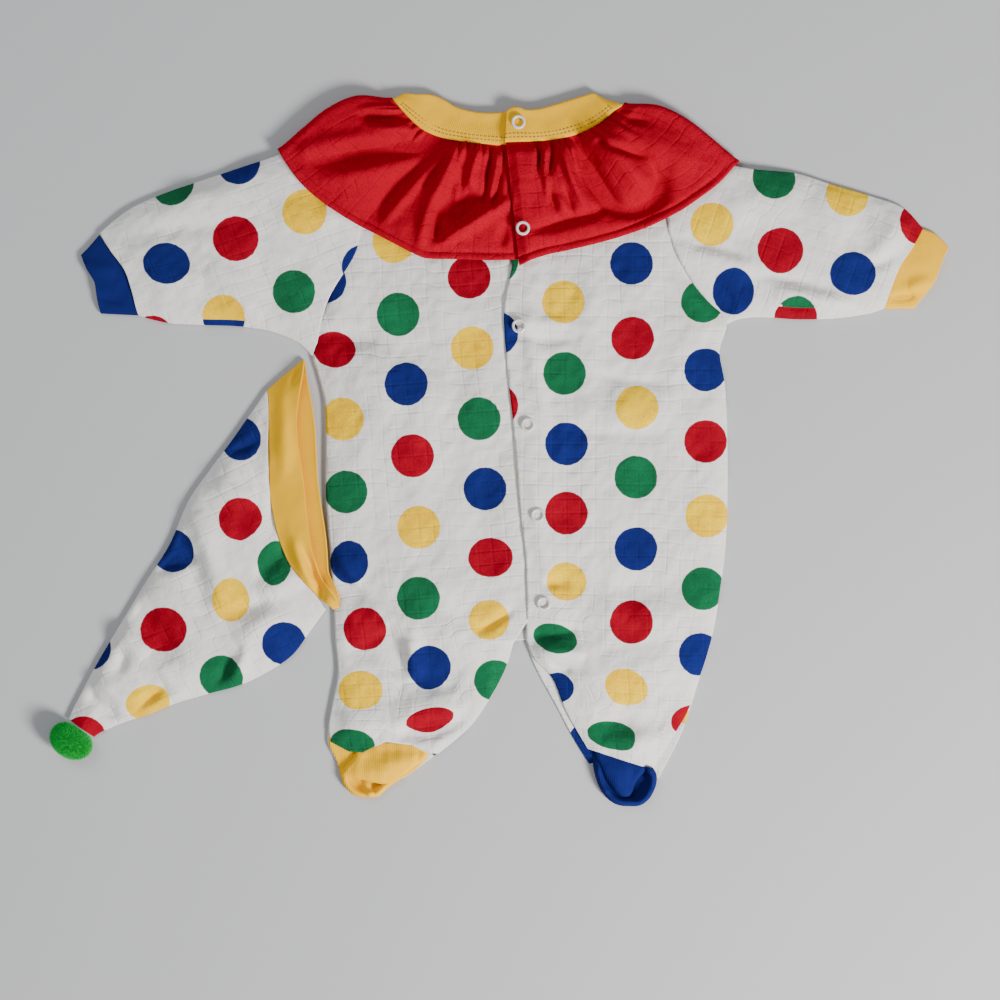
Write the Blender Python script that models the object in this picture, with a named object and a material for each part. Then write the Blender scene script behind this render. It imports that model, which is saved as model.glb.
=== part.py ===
"""Baby's clown costume laid flat on its back: a dotted romper with a ruffle
collar, and its cone hat beside it. Every piece of cloth is a wall of even
thickness, lofted over a grid of rows. Tables and sizes are in millimetres, and
the scene is in metres. +X is across the garment, +Y towards its neck, +Z up.
The origin is under the middle of the set, on the surface it lies on."""
import math
from collections import namedtuple

import bpy
import bmesh
from mathutils import Vector
from mathutils.geometry import intersect_ray_tri

for leftover in list(bpy.data.objects):
    bpy.data.objects.remove(leftover, do_unlink=True)

MM = 0.001
CLOTH = 1.5              # wall of the double knit and of the rib
GAP = 0.3                # clear space at a seam
LAYER = 2.1              # one sheet lying on another, middle to middle
FLAT = CLOTH / 2         # middle of a sheet that lies on the surface
TUBE_FOLD = 1.3          # radius of the folded edges of a sleeve, cuff or hat
COLLAR_LEVEL = 9.4       # middle of the collar's front over the sleeves
BODY_LOFT = 1.2          # air between the back and the fronts
ARMHOLE_GAP = 1.5 * GAP  # clear space between a sleeve and the body
SNAP_OUTER = 5.0
SNAP_INNER = 3.1
SNAP_HEIGHT = 1.1
SNAP_SIDES = 16

RUN_CELLS = 9            # steps of a tube's flat run, which the armhole edges share
TURN_STEPS = 4           # steps round a tube's folded edge
LEFT_CELLS = 9           # columns of the body left of the placket, at it and right of it
LAP_CELLS = 2
RIGHT_CELLS = 9
BODY_CELLS = LEFT_CELLS + LAP_CELLS + RIGHT_CELLS
TOP_ROWS = RUN_CELLS + 1
COLLAR_CELLS = 7
FOOT_CELLS = 8

WHITE = (0.78, 0.77, 0.74)
RED = (0.55, 0.008, 0.025)
YELLOW = (0.82, 0.52, 0.16)
BLUE = (0.015, 0.05, 0.24)
GREEN = (0.03, 0.42, 0.12)
PEARL = (0.80, 0.78, 0.76)

Across = namedtuple("Across", "low_x low_y high_x high_y bow_low bow_mid bow_high rise")
Side = namedtuple("Side", "left_x left_y right_x right_y")
Strip = namedtuple("Strip", "lower_x lower_y upper_x upper_y level")
Gather = namedtuple("Gather", "neck_x neck_y hem_x hem_y neck_z hem_z lift")
Fold = namedtuple("Fold", "start_x start_y end_x end_y width height")

# Sleeves, from the armhole to the cuff. Each row crosses the sleeve from its
# lower to its upper folded edge, and bows towards the body.
SLEEVE_RIGHT = (
    Across(-131, 64, -108, 224, 4, 19, 14, 0.0),
    Across(-142, 74.5, -132, 214, 3, 12, 8, 1.0),
    Across(-160, 82, -158, 203, 1, 4, 3, 1.4),
    Across(-182, 85.5, -184, 194.5, 0, 0, 0, 1.7),
    Across(-206, 86.5, -210, 186, 0, 0, 0, 1.8),
    Across(-229, 87.5, -236, 177, 0, 0, 0, 1.7),
    Across(-242, 90, -260, 166, 0, 2, 0, 1.2),
    Across(-253, 93, -280, 150, 3, 5, 2, 0.6),
)
SLEEVE_LEFT = (
    Across(158, 87, 124, 221, 15.5, 22.5, 15, 0.0),
    Across(168, 91, 150, 202, 6, 12, 8, 1.0),
    Across(184, 92, 174, 193, 2, 4, 3, 1.4),
    Across(207, 90.5, 206, 191, 0, 0, 0, 1.7),
    Across(232, 91, 232, 183.5, 0, 0, 0, 1.8),
    Across(252, 93.5, 259, 175.5, 0, 0, 0, 1.7),
    Across(261, 95.5, 281, 167.5, 0, 1, 1, 1.2),
    Across(268, 98, 295, 153, 2, 3, 1, 0.6),
)
CUFF_RIGHT = (
    Across(-253.4, 93.5, -280.8, 146.5, 3, 5, 2, 0.3),
    Across(-266, 93.8, -288, 139.5, 3, 5, 2, 0.5),
    Across(-279.5, 94.5, -293, 134.5, 1, 3, 1, 0.5),
)
CUFF_LEFT = (
    Across(268.6, 98.2, 295.6, 152, 2, 3, 1, 0.3),
    Across(279, 98, 304, 149, 1, 2, 1, 0.5),
    Across(289, 98, 313, 140, -2, -3, -1, 0.5),
)

# The hat, from the seam of its band to its tip, bowing towards the tip.
HAT = (
    Across(-122.5, -112.5, -163, 40, 17, 18, 9.5, 1.2),
    Across(-133, -127, -174, 24, 10, 10, 6, 1.5),
    Across(-146, -144.5, -188, 4, 4, 4, 3, 1.7),
    Across(-164, -156.5, -203, -15, 0, 0, 0, 1.8),
    Across(-183, -165.5, -218, -36, 0, 0, 0, 1.8),
    Across(-205, -171.5, -232, -68, 0, 0, 0, 1.8),
    Across(-227, -178, -248, -95, 0, 0, 0, 1.8),
    Across(-248, -186.5, -265, -123, 0, 0, 0, 1.6),
    Across(-264, -191.5, -281, -151, 0, 0, 0, 1.3),
    Across(-279, -198, -296, -178, 0, 0, 0, 0.8),
    Across(-283.5, -200.5, -300.5, -188.5, 0, 0, 0, 0.3),
)
BAND_SEAM = Across(-122.1, -112.0, -162.6, 40.2, 16.7, 17.7, 9.2, 1.2)
BAND_MIDDLE = Across(-121.6, -111.6, -150, 52, 10, 13, 9.3, 1.0)
BAND_MOUTH = Across(-121, -111, -138.5, 62, 5, 8, 8.5, 0.8)
BAND_MIDDLE_UNDER = (6, 8, 4)
BAND_MOUTH_UNDER = (-2.5, -1.5, -3)

# Left and right edges of the body between the armholes and the crotch.
BODY_SIDES = (
    Side(-127, 50, 153, 68),
    Side(-123, 33, 156.5, 45),
    Side(-122, 15, 158, 20),
    Side(-122, -5, 158.5, -5),
    Side(-122, -28, 158.5, -28),
    Side(-121, -52, 158, -52),
    Side(-119, -75, 156.5, -75),
    Side(-117.5, -97, 153.5, -97),
    Side(-116, -118, 150.5, -118),
    Side(-115.5, -134.5, 147, -134.5),
)
# The legs, from just below the crotch to the ankle seam.
LEG_RIGHT_BACK = (
    Side(-113.5, -157, 2.5, -156),
    Side(-117, -177, -9, -177),
    Side(-120, -194, -22, -195),
    Side(-120.5, -208, -40, -210.5),
    Side(-112, -223.5, -68, -231),
)
LEG_RIGHT_FRONT = (
    Side(-113.5, -157, 2.5, -156),
    Side(-117, -177, -9, -177),
    Side(-120, -194, -22, -195),
    Side(-118.5, -205.5, -43.5, -213.5),
)
LEG_LEFT_BACK = (
    Side(22, -148, 142.5, -150),
    Side(30, -164, 137, -168),
    Side(41, -184, 131, -187),
    Side(51, -203, 124, -205),
    Side(62, -221, 110.5, -231),
)
LEG_LEFT_FRONT = (
    Side(23.5, -147, 142.5, -150),
    Side(36.5, -161, 136, -168),
    Side(46, -184, 129, -187),
    Side(61, -210, 106, -224.5),
)
NECK_LINE = (
    (-108, 224), (-74, 237), (-66, 229.5), (-57, 223), (-42, 215.5), (-25, 212.7), (3, 210.2),
    (28, 212), (45, 215), (58, 219), (70, 225), (78, 231.5), (84, 235), (124, 221),
)
SHOULDER_RIGHT = (-108, 224)
SHOULDER_LEFT = (124, 221)
CROTCH_Y = -134.5
CROTCH_RIGHT = 9.5             # inner edges of the legs where they part
CROTCH_LEFT = 18.0
CROTCH_OUTSIDE = 147.0
UNDER_TURN = 20.0              # inner edge of the right front a row above
LOFT_TOP = 118.0               # no air under the fronts above this
LOFT_REACH = 50.0
PLACKET_EDGE = (
    (230, 3), (160, 6), (130, 8), (103, 2.5), (75, 3.5), (40, 6.5), (0, 10.5), (-36, 13.7),
    (-78, 18), (-106, 18.5), (-140, 17.7),
)
UNDER_EDGE = ((230, 27), (0, 34.5), (-75, 42), (-97, 40), (-118, 21), (-134.5, 10))

# The neckband, from its end under the lap round the neck to the end on top.
BAND_FRONT_RIGHT = (
    Strip(15, 212.6, 15, 235.5, 0), Strip(3, 210.8, 4, 234.5, 0), Strip(-12, 212, -9, 234, 0),
    Strip(-27, 214, -21, 235, 0), Strip(-42, 216.8, -32, 238.5, 0), Strip(-54, 222, -41, 242.5, 0),
    Strip(-63, 229.5, -50, 245.8, 0), Strip(-70, 237.5, -60, 246.6, 0),
)
BAND_BACK = (
    Strip(-68, 236, -58, 245, 0), Strip(-50, 222, -42, 240, 0), Strip(-25, 216, -20, 234, 0),
    Strip(5, 214, 5, 233, 0), Strip(32, 216, 28, 234, 0), Strip(56, 222, 45, 240, 0),
    Strip(76, 233, 61, 245.5, 0),
)
BAND_FRONT_LEFT = (
    Strip(79, 234.5, 62, 247, 0), Strip(67, 225.2, 53, 244, 0), Strip(52, 218.3, 39, 240, 0),
    Strip(36, 214.8, 27, 236.5, 0.6), Strip(23, 213.4, 17.5, 236, 1), Strip(12, 213, 12, 237.5, 1),
    Strip(3, 212.6, 4.5, 236.5, 1),
)
BAND_FOLD_RIGHT = Strip(-75, 243, -66, 247.5, 0)
BAND_FOLD_LEFT = Strip(85, 239, 66, 248, 0)

# The collar's folds: valleys and ridges as they run from the neck to the hem.
# neck_z and hem_z are heights over the base level, and lift is the fold's own.
COLLAR_FRONT_RIGHT = (
    Gather(14, 209.5, 24, 131, -0.7, -0.7, 0.0), Gather(4, 209.3, 12, 130.5, -0.7, -0.7, 0.0),
    Gather(-1, 209.5, 3, 130.5, -0.9, -0.6, 1.0), Gather(-7, 210, -10, 130.5, -2.2, 0, 4.5),
    Gather(-13, 210.4, -24, 130.8, -2.5, 0, 1.0), Gather(-19, 211, -36, 131, -2.5, 0, 5.5),
    Gather(-26, 212, -52, 131.8, -2.5, 0, 1.2), Gather(-33, 213, -62, 136, -2.5, 0, 6.5),
    Gather(-40, 214.5, -76, 143, -2.5, 0, 5.0), Gather(-46, 217, -90, 150, -2.5, 0, 1.2),
    Gather(-51, 219.5, -106, 159, -2.5, 0, 5.5), Gather(-57, 223.2, -122, 170, -2.5, 0, 4.5),
    Gather(-61, 227, -136, 182, -2.5, 0, 1.0), Gather(-66, 231.5, -146, 192, -2.5, 0, 4.0),
    Gather(-71, 236.5, -153, 201, -2.5, 0, 1.0),
)
COLLAR_BACK = (
    Gather(-71, 235, -148, 197, 0, 0, 0), Gather(-60, 225.5, -118, 166, 0, 0, 0),
    Gather(-42, 217, -86, 146, 0, 0, 0), Gather(-20, 213.5, -45, 133, 0, 0, 0),
    Gather(5, 212, 5, 127, 0, 0, 0), Gather(30, 213.5, 50, 132, 0, 0, 0),
    Gather(52, 218, 92, 145, 0, 0, 0), Gather(70, 227, 130, 167, 0, 0, 0),
    Gather(80, 233, 158, 190, 0, 0, 0),
)
COLLAR_FRONT_LEFT = (
    Gather(81, 234, 157, 187.5, -2.6, 0, 1.0), Gather(76, 229.5, 148, 179.5, -2.2, 0, 3.5),
    Gather(71, 225.2, 136, 171.5, -1.8, 0, 1.0), Gather(65, 221.5, 120, 162.5, -1.5, 0, 6.0),
    Gather(58, 218.3, 103, 154, -1.2, 0, 5.5), Gather(51, 215.8, 84, 147, -1.0, 0, 1.0),
    Gather(44, 213.6, 68, 142.5, -0.9, 0.2, 4.5), Gather(38, 212.3, 56, 139.5, -0.8, 0.4, 1.2),
    Gather(31, 211.6, 43, 136.5, 0.4, 0.9, 3.5), Gather(23, 211.3, 32, 133.8, 1.2, 1.2, 0.8),
    Gather(13, 211.2, 22, 129.5, 1.3, 1.3, 0.5), Gather(4.5, 211.2, 12.5, 126.5, 1.3, 1.3, 0.2),
)
COLLAR_FOLD_RIGHT = Across(-76.5, 241, -157, 207.5, 10, 11, 6, 0)
COLLAR_FOLD_LEFT = Across(87, 238, 168.5, 200.5, 10, 8, 4.5, 0)
BACK_HEM_CENTRE = (5, 300)     # the collar's back hem is an arc about this point
LIFT_FULL = 201.0              # the body rides on the collar's back inside this radius
LIFT_NONE = 232.0

# The feet, each row crossing from its left to its right edge, ankle to toe.
SOLE_RIGHT = (
    Across(-112, -223.9, -68.4, -231.4, 0, 0, 0, 0), Across(-110.5, -231, -72, -235.2, 0, 0, 0, 0),
    Across(-106, -238.5, -77, -240, 0, 0, 0, 0), Across(-99, -243.3, -85, -244.5, 0, 0, 0, 0),
)
VAMP_RIGHT = (
    Across(-106, -213.2, -51, -214, -1.5, -2.4, -1.2, 0.0),
    Across(-108.5, -218, -54, -221, 0, -1, -2, 3.0),
    Across(-110.5, -223, -62, -229, 0, 0, 0, 4.4),
    Across(-110.5, -228, -74, -236, 0, 0, 0, 4.0),
)
SOLE_LEFT = (
    Across(63, -222, 110.2, -232, 0, 0, 0, 0), Across(66.5, -232, 107.5, -237, 0, 0, 0, 0),
    Across(72.5, -240.5, 103.5, -243, 0, 0, 0, 0), Across(81, -247, 97, -248, 0, 0, 0, 0),
)
VAMP_LEFT = (
    Across(61.3, -212, 105.8, -226, 0, 0, 0, 0.0), Across(67, -221.5, 105, -231, 0, 0, 0, 2.2),
    Across(73, -232, 101, -237.5, 0, 0, 0, 2.6), Across(81.5, -241.5, 94, -242.5, 0, 0, 0, 1.4),
)

# Broad folds of the body, each a soft ridge along its own line.
BODY_FOLDS = (
    Fold(-108, 58, -30, 5, 24, 1.7), Fold(-112, -62, -62, -100, 20, 1.9),
    Fold(30, 78, 135, 60, 16, 1.2), Fold(20, 10, 140, 22, 16, 1.4),
    Fold(-95, -150, -20, -118, 20, 1.8), Fold(40, -118, 135, -96, 18, 1.5),
    Fold(-88, -178, -18, -160, 18, 1.6), Fold(45, -165, 120, -185, 18, 1.5),
)
SLEEVE_FOLDS = (
    Fold(-245, 130, -160, 150, 20, 0.8), Fold(-150, 100, -215, 165, 16, 0.7),
    Fold(150, 135, 232, 118, 18, 0.8), Fold(170, 165, 262, 140, 16, 0.7),
)
HAT_FOLDS = (
    Fold(-225, -60, -190, -120, 14, 0.8), Fold(-262, -130, -215, -150, 14, 0.8),
    Fold(-175, -20, -150, -100, 18, 0.7),
)
SNAP_PLACES = (
    ("snap_neck", 12.5, 226.5), ("snap_collar", 15.5, 152), ("snap_front_1", 12.8, 84.5),
    ("snap_front_2", 19, 16), ("snap_front_3", 26, -47), ("snap_front_4", 30, -108.5),
)
POMPOM_PLACE = (-299, -204.5, 9.0)
POMPOM_RADII = (14.6, 12.6, 9.0)
POMPOM_DENT = 0.34             # how far its side gives way to the hat's tip
POMPOM_DENT_DIRECTION = math.radians(56)
POMPOM_DENT_WIDTH = 0.55


def blend(start, end, part):
    return start + (end - start) * part


def ease(part):
    part = max(0.0, min(1.0, part))
    return part * part * (3 - 2 * part)


def along(table, key):
    """Value at key in a table of (key, value) rows, straight between rows."""
    rows = sorted(table)
    if key <= rows[0][0]:
        return rows[0][1]
    for (low, value), (high, following) in zip(rows, rows[1:]):
        if key <= high:
            return blend(value, following, (key - low) / (high - low))
    return rows[-1][1]


def bow_at(bows, part):
    """Smooth sideways swing of a seam: nothing at its ends, bows at its quarters."""
    knots = (0.0, *bows, 0.0)
    place = part * (len(knots) - 1)
    index = min(int(place), len(knots) - 2)
    before = knots[max(index - 1, 0)]
    after = knots[min(index + 2, len(knots) - 1)]
    here, there, part = knots[index], knots[index + 1], place - index
    return 0.5 * (2 * here + (there - before) * part
                  + (2 * before - 5 * here + 4 * there - after) * part ** 2
                  + (3 * here - before - 3 * there + after) * part ** 3)


def seam_point(row, part, towards, bows=None):
    """Point of a crosswise row, bowed towards +X (1) or -X (-1)."""
    low = Vector((row.low_x, row.low_y))
    high = Vector((row.high_x, row.high_y))
    line = (high - low).normalized()
    side = Vector((line.y, -line.x)) * towards
    swing = bow_at(bows or (row.bow_low, row.bow_mid, row.bow_high), part)
    return low.lerp(high, part) + side * swing


def collar_lift(x, y):
    """How far the body is raised where the collar's back lies under it."""
    distance = math.hypot(x - BACK_HEM_CENTRE[0], y - BACK_HEM_CENTRE[1])
    return LAYER * (1 - ease((distance - LIFT_FULL) / (LIFT_NONE - LIFT_FULL)))


def fold_height(folds, x, y):
    height = 0.0
    for fold in folds:
        start = Vector((fold.start_x, fold.start_y))
        run = Vector((fold.end_x, fold.end_y)) - start
        place = (Vector((x, y)) - start).dot(run) / run.length_squared
        part = max(0.0, min(1.0, place))
        away = (Vector((x, y)) - start - run * part).length
        height += fold.height * math.exp(-(away / fold.width) ** 2)
    return height


def material(name, colour, roughness):
    made = bpy.data.materials.new(name)
    made.use_nodes = True
    shader = made.node_tree.nodes["Principled BSDF"]
    shader.inputs["Base Color"].default_value = (*colour, 1.0)
    shader.inputs["Roughness"].default_value = roughness
    shader.inputs["Metallic"].default_value = 0.0
    return made


def cloth(name, rows, colour, closed=False, kept=None):
    """A wall of even thickness about a grid of points, closed round when it is a tube."""
    height = len(rows)
    width = len(rows[0])

    def middle(i, j):
        return rows[max(0, min(height - 1, i))][j % width if closed else max(0, min(width - 1, j))]

    mesh = bmesh.new()
    faces = {}
    for i in range(height):
        for j in range(width):
            across = middle(i, j + 1) - middle(i, j - 1)
            down = middle(i + 1, j) - middle(i - 1, j)
            offset = across.cross(down).normalized() * CLOTH / 2
            faces[i, j] = (mesh.verts.new((rows[i][j] + offset) * MM),
                           mesh.verts.new((rows[i][j] - offset) * MM))
    edges = set()
    for i in range(height - 1):
        for j in range(width if closed else width - 1):
            if kept and not kept(i, j):
                continue
            corners = [(i, j), (i, (j + 1) % width), (i + 1, (j + 1) % width), (i + 1, j)]
            for skin in (0, 1):
                a, b, c, d = (faces[corner][skin] for corner in corners)
                mesh.faces.new((a, b, c))
                mesh.faces.new((a, c, d))
            edges.update(zip(corners, corners[1:] + corners[:1]))
    for start, end in sorted(edges):
        if (end, start) not in edges:
            a, b = faces[start]
            c, d = faces[end]
            mesh.faces.new((a, b, d))
            mesh.faces.new((a, d, c))
    loose = [vert for vert in mesh.verts if not vert.link_faces]
    bmesh.ops.delete(mesh, geom=loose, context="VERTS")
    bmesh.ops.recalc_face_normals(mesh, faces=mesh.faces)
    add_object(name, mesh, colour)


def add_object(name, mesh, colour, roughness=0.9):
    for face in mesh.faces:
        face.smooth = True
    data = bpy.data.meshes.new(name)
    mesh.to_mesh(data)
    mesh.free()
    data.materials.append(material(name + "_finish", colour, roughness))
    made = bpy.data.objects.new(name, data)
    bpy.context.collection.objects.link(made)


def run_part(row, step):
    """Share of a row's length at one of the steps of a tube's flat run."""
    span = math.dist((row.low_x, row.low_y), (row.high_x, row.high_y))
    return blend(TUBE_FOLD / span, 1 - TUBE_FOLD / span, step / RUN_CELLS)


def tube_ring(row, towards, folds, under_bows=None):
    """Flattened ring across a sleeve or hat: under run, fold, top run, fold."""
    ring = []
    parts = [step / RUN_CELLS for step in range(RUN_CELLS + 1)]

    def place(part, bows):
        return seam_point(row, run_part(row, part * RUN_CELLS), towards, bows)

    for part in parts:
        spot = place(part, under_bows)
        ring.append(Vector((spot.x, spot.y, FLAT + collar_lift(spot.x, spot.y))))
    for end, order in ((1.0, parts[::-1]), (0.0, None)):
        under = place(end, under_bows)
        over = place(end, None)
        outward = Vector((row.high_x - row.low_x, row.high_y - row.low_y)).normalized()
        outward *= TUBE_FOLD * (1 if end else -1)
        low = FLAT + collar_lift(under.x, under.y)
        for step in range(1, TURN_STEPS):
            angle = math.pi * step / TURN_STEPS * (1 if end else -1) + (0 if end else math.pi)
            share = step / TURN_STEPS if end else 1 - step / TURN_STEPS
            spot = under.lerp(over, share) + outward * math.sin(math.pi * step / TURN_STEPS)
            ring.append(Vector((spot.x, spot.y, low + TUBE_FOLD * (1 - math.cos(angle)))))
        if order:
            for part in order:
                spot = place(part, None)
                height = row.rise * math.sin(math.pi * part) ** 0.6 if 0 < part < 1 else 0.0
                height += fold_height(folds, spot.x, spot.y) * math.sin(math.pi * part)
                base = FLAT + collar_lift(spot.x, spot.y) + 2 * TUBE_FOLD
                ring.append(Vector((spot.x, spot.y, base + height)))
    return ring


def body_rows():
    """Rows of left and right end points from the shoulders to the crotch."""
    rows = []
    for step in range(RUN_CELLS, -1, -1):
        clear = Vector((ARMHOLE_GAP, 0))
        left = seam_point(SLEEVE_RIGHT[0], run_part(SLEEVE_RIGHT[0], step), 1) + clear
        right = seam_point(SLEEVE_LEFT[0], run_part(SLEEVE_LEFT[0], step), -1) - clear
        rows.append(Side(left.x, left.y, right.x, right.y))
    return rows + list(BODY_SIDES)


def neck_dip(x):
    """Height of the neck line above the straight line between the shoulders."""
    part = (x - SHOULDER_RIGHT[0]) / (SHOULDER_LEFT[0] - SHOULDER_RIGHT[0])
    shoulder = blend(SHOULDER_RIGHT[1], SHOULDER_LEFT[1], part)
    return along(NECK_LINE, x) - shoulder


def body_point(row, index, column):
    """Plan position of a column of the body's grid on one of its rows."""
    left = Vector((row.left_x, row.left_y))
    right = Vector((row.right_x, row.right_y))
    lap_end = LEFT_CELLS + LAP_CELLS
    middle_y = (left.y + right.y) / 2
    edge_x = along(PLACKET_EDGE, middle_y)
    under_x = along(UNDER_EDGE, middle_y)
    if column <= LEFT_CELLS:
        x = blend(left.x, edge_x, column / LEFT_CELLS)
    elif column <= lap_end:
        x = blend(edge_x, under_x, (column - LEFT_CELLS) / LAP_CELLS)
    else:
        x = blend(under_x, right.x, (column - lap_end) / RIGHT_CELLS)
    part = (x - left.x) / (right.x - left.x)
    y = blend(left.y, right.y, part)
    if index < TOP_ROWS - 1:
        fade = 1 - index / (TOP_ROWS - 1)
        y += neck_dip(blend(SHOULDER_RIGHT[0], SHOULDER_LEFT[0], part)) * fade ** 1.3
    return Vector((x, y)), column / BODY_CELLS


def loft(x, y, part):
    """Air and folds between back and front, none at the side seams."""
    open_part = ease((LOFT_TOP - y) / LOFT_REACH)
    return (BODY_LOFT + fold_height(BODY_FOLDS, x, y)) * math.sin(math.pi * part) ** 0.8 * open_part


def build_body():
    rows = body_rows()
    last = len(rows) - 1
    notch = LEFT_CELLS          # the cell between the legs, left out below the crotch

    def grid(leg_right, leg_left, height):
        points = []
        for index, row in enumerate(rows):
            line = []
            for column in range(BODY_CELLS + 1):
                spot, part = body_point(row, index, column)
                line.append(height(spot, part))
            points.append(line)
        for right_leg, left_leg in zip(leg_right, leg_left):
            line = []
            for column in range(BODY_CELLS + 1):
                if column <= notch:
                    side, part = right_leg, column / notch
                else:
                    side, part = left_leg, (column - notch - 1) / (BODY_CELLS - notch - 1)
                x = blend(side.left_x, side.right_x, part)
                y = blend(side.left_y, side.right_y, part)
                line.append(height(Vector((x, y)), part))
            points.append(line)
        return points

    def back_height(spot, part):
        return Vector((spot.x, spot.y, FLAT + collar_lift(spot.x, spot.y)))

    back = grid(LEG_RIGHT_BACK, LEG_LEFT_BACK, back_height)
    crotch = back[last]
    crotch[notch].x = CROTCH_RIGHT
    crotch[notch].y = CROTCH_Y
    crotch[notch + 1].x = CROTCH_LEFT
    crotch[notch + 1].y = CROTCH_Y
    crotch[notch + 2].x = blend(CROTCH_LEFT, CROTCH_OUTSIDE, 1 / (RIGHT_CELLS + 1))
    cloth("back_panel", back, WHITE, kept=lambda i, j: i < last or j != notch)

    def under_height(spot, part):
        high = FLAT + collar_lift(spot.x, spot.y) + LAYER + loft(spot.x, spot.y, part)
        return Vector((spot.x, spot.y, high))

    front = grid(LEG_RIGHT_FRONT, LEG_LEFT_FRONT, under_height)
    lap_end = LEFT_CELLS + LAP_CELLS
    front_right = [line[:lap_end + 1] for line in front[:last - 1]]
    for index in (last - 1, last):
        row = rows[index]
        inner = UNDER_TURN if index == last - 1 else CROTCH_RIGHT
        line = []
        for column in range(lap_end + 1):
            part = column / lap_end
            x = blend(row.left_x, inner, part)
            line.append(under_height(Vector((x, row.left_y)), 0.5 * part))
        front_right.append(line)
    for side in LEG_RIGHT_FRONT:
        line = []
        for column in range(lap_end + 1):
            part = column / lap_end
            x = blend(side.left_x, side.right_x, part)
            y = blend(side.left_y, side.right_y, part)
            line.append(under_height(Vector((x, y)), part))
        front_right.append(line)
    cloth("front_right", front_right, WHITE)

    front_left = []
    for index in range(last + 1):
        row = rows[index]
        line = []
        for column in range(LEFT_CELLS, BODY_CELLS + 1):
            spot, part = body_point(row, index, column)
            point = under_height(spot, part)
            over = 1.0 if column <= lap_end else 1 - (column - lap_end) / 2
            point.z += LAYER * max(0.0, over)
            line.append(point)
        front_left.append(line)
    cells = BODY_CELLS - LEFT_CELLS
    for side in LEG_LEFT_FRONT:
        line = []
        for column in range(cells + 1):
            part = column / cells
            x = blend(side.left_x, side.right_x, part)
            y = blend(side.left_y, side.right_y, part)
            line.append(under_height(Vector((x, y)), part))
        front_left.append(line)
    cloth("front_left", front_left, WHITE)


def build_tubes():
    for name, table, towards, colour, folds in (
            ("sleeve_right", SLEEVE_RIGHT, 1, WHITE, SLEEVE_FOLDS),
            ("sleeve_left", SLEEVE_LEFT, -1, WHITE, SLEEVE_FOLDS),
            ("cuff_right", CUFF_RIGHT, 1, BLUE, ()),
            ("cuff_left", CUFF_LEFT, -1, YELLOW, ()),
            ("hat_cone", HAT, -1, WHITE, HAT_FOLDS)):
        cloth(name, [tube_ring(row, towards, folds) for row in table], colour, closed=True)
    band = [tube_ring(BAND_SEAM, -1, ()), tube_ring(BAND_MIDDLE, -1, (), BAND_MIDDLE_UNDER),
            tube_ring(BAND_MOUTH, -1, (), BAND_MOUTH_UNDER)]
    cloth("hat_band", band, YELLOW, closed=True)


def turned(points, outward, low, high, steps=4):
    """Rows round a folded edge, from height low to height high."""
    radius = abs(high - low) / 2
    middle = (low + high) / 2
    rows = []
    for step in range(1, steps):
        angle = math.pi * step / steps
        reach = outward * (radius * (math.sin(angle) - 1))
        z = middle - (high - low) / 2 * math.cos(angle)
        rows.append([Vector((p.x + reach.x, p.y + reach.y, z)) for p in points])
    return rows


def build_neckband():
    back_level = FLAT + LAYER
    front_level = back_level + LAYER

    def line(row, base):
        points = []
        for part in (0.0, 0.5, 1.0):
            x = blend(row.lower_x, row.upper_x, part)
            y = blend(row.lower_y, row.upper_y, part)
            points.append(Vector((x, y, base + row.level * LAYER)))
        return points

    rows = [line(row, front_level) for row in BAND_FRONT_RIGHT]
    fold = line(BAND_FOLD_RIGHT, 0.0)
    rows += turned(fold, Vector((-0.6, 0.8)), front_level, back_level)
    rows += [line(row, back_level) for row in BAND_BACK]
    fold = line(BAND_FOLD_LEFT, 0.0)
    rows += turned(fold, Vector((0.6, 0.8)), back_level, front_level)
    rows += [line(row, front_level) for row in BAND_FRONT_LEFT]
    cloth("neckband", rows, YELLOW)


def build_collar():
    def line(row, base):
        points = []
        for step in range(COLLAR_CELLS + 1):
            part = step / COLLAR_CELLS
            x = blend(row.neck_x, row.hem_x, part)
            y = blend(row.neck_y, row.hem_y, part)
            level = base + blend(row.neck_z, row.hem_z, ease(part * 2.5))
            if 0 < part < 1:
                level += row.lift * math.sin(math.pi * part) ** 0.7
            points.append(Vector((x, y, level)))
        return points

    def fold_line(row, towards):
        points = []
        for step in range(COLLAR_CELLS + 1):
            spot = seam_point(row, step / COLLAR_CELLS, towards)
            points.append(Vector((spot.x, spot.y, 0.0)))
        return points

    rows = [line(row, COLLAR_LEVEL) for row in COLLAR_FRONT_RIGHT]
    rows += turned(fold_line(COLLAR_FOLD_RIGHT, 1), Vector((-0.4, 0.9)), COLLAR_LEVEL, FLAT, 6)
    rows += [line(row, FLAT) for row in COLLAR_BACK]
    rows += turned(fold_line(COLLAR_FOLD_LEFT, -1), Vector((0.4, 0.9)), FLAT, COLLAR_LEVEL, 6)
    rows += [line(row, COLLAR_LEVEL) for row in COLLAR_FRONT_LEFT]
    cloth("collar", rows, RED)


def build_foot(name, table, colour, level):
    """Flat piece of a foot, its rows running from the ankle to the toe."""
    rows = []
    for row in table:
        line = []
        for step in range(FOOT_CELLS + 1):
            part = step / FOOT_CELLS
            spot = seam_point(row, part, 1)
            height = row.rise * math.sin(math.pi * part) ** 0.8 if 0 < step < FOOT_CELLS else 0.0
            line.append(Vector((spot.x, spot.y, level + height)))
        rows.append(line)
    cloth(name, rows, colour)


def build_feet():
    over = FLAT + LAYER
    build_foot("sole_right", SOLE_RIGHT, YELLOW, FLAT)
    build_foot("vamp_right", VAMP_RIGHT, YELLOW, over)
    build_foot("sole_left", SOLE_LEFT, BLUE, FLAT)
    build_foot("vamp_left", VAMP_LEFT, BLUE, over)


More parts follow.
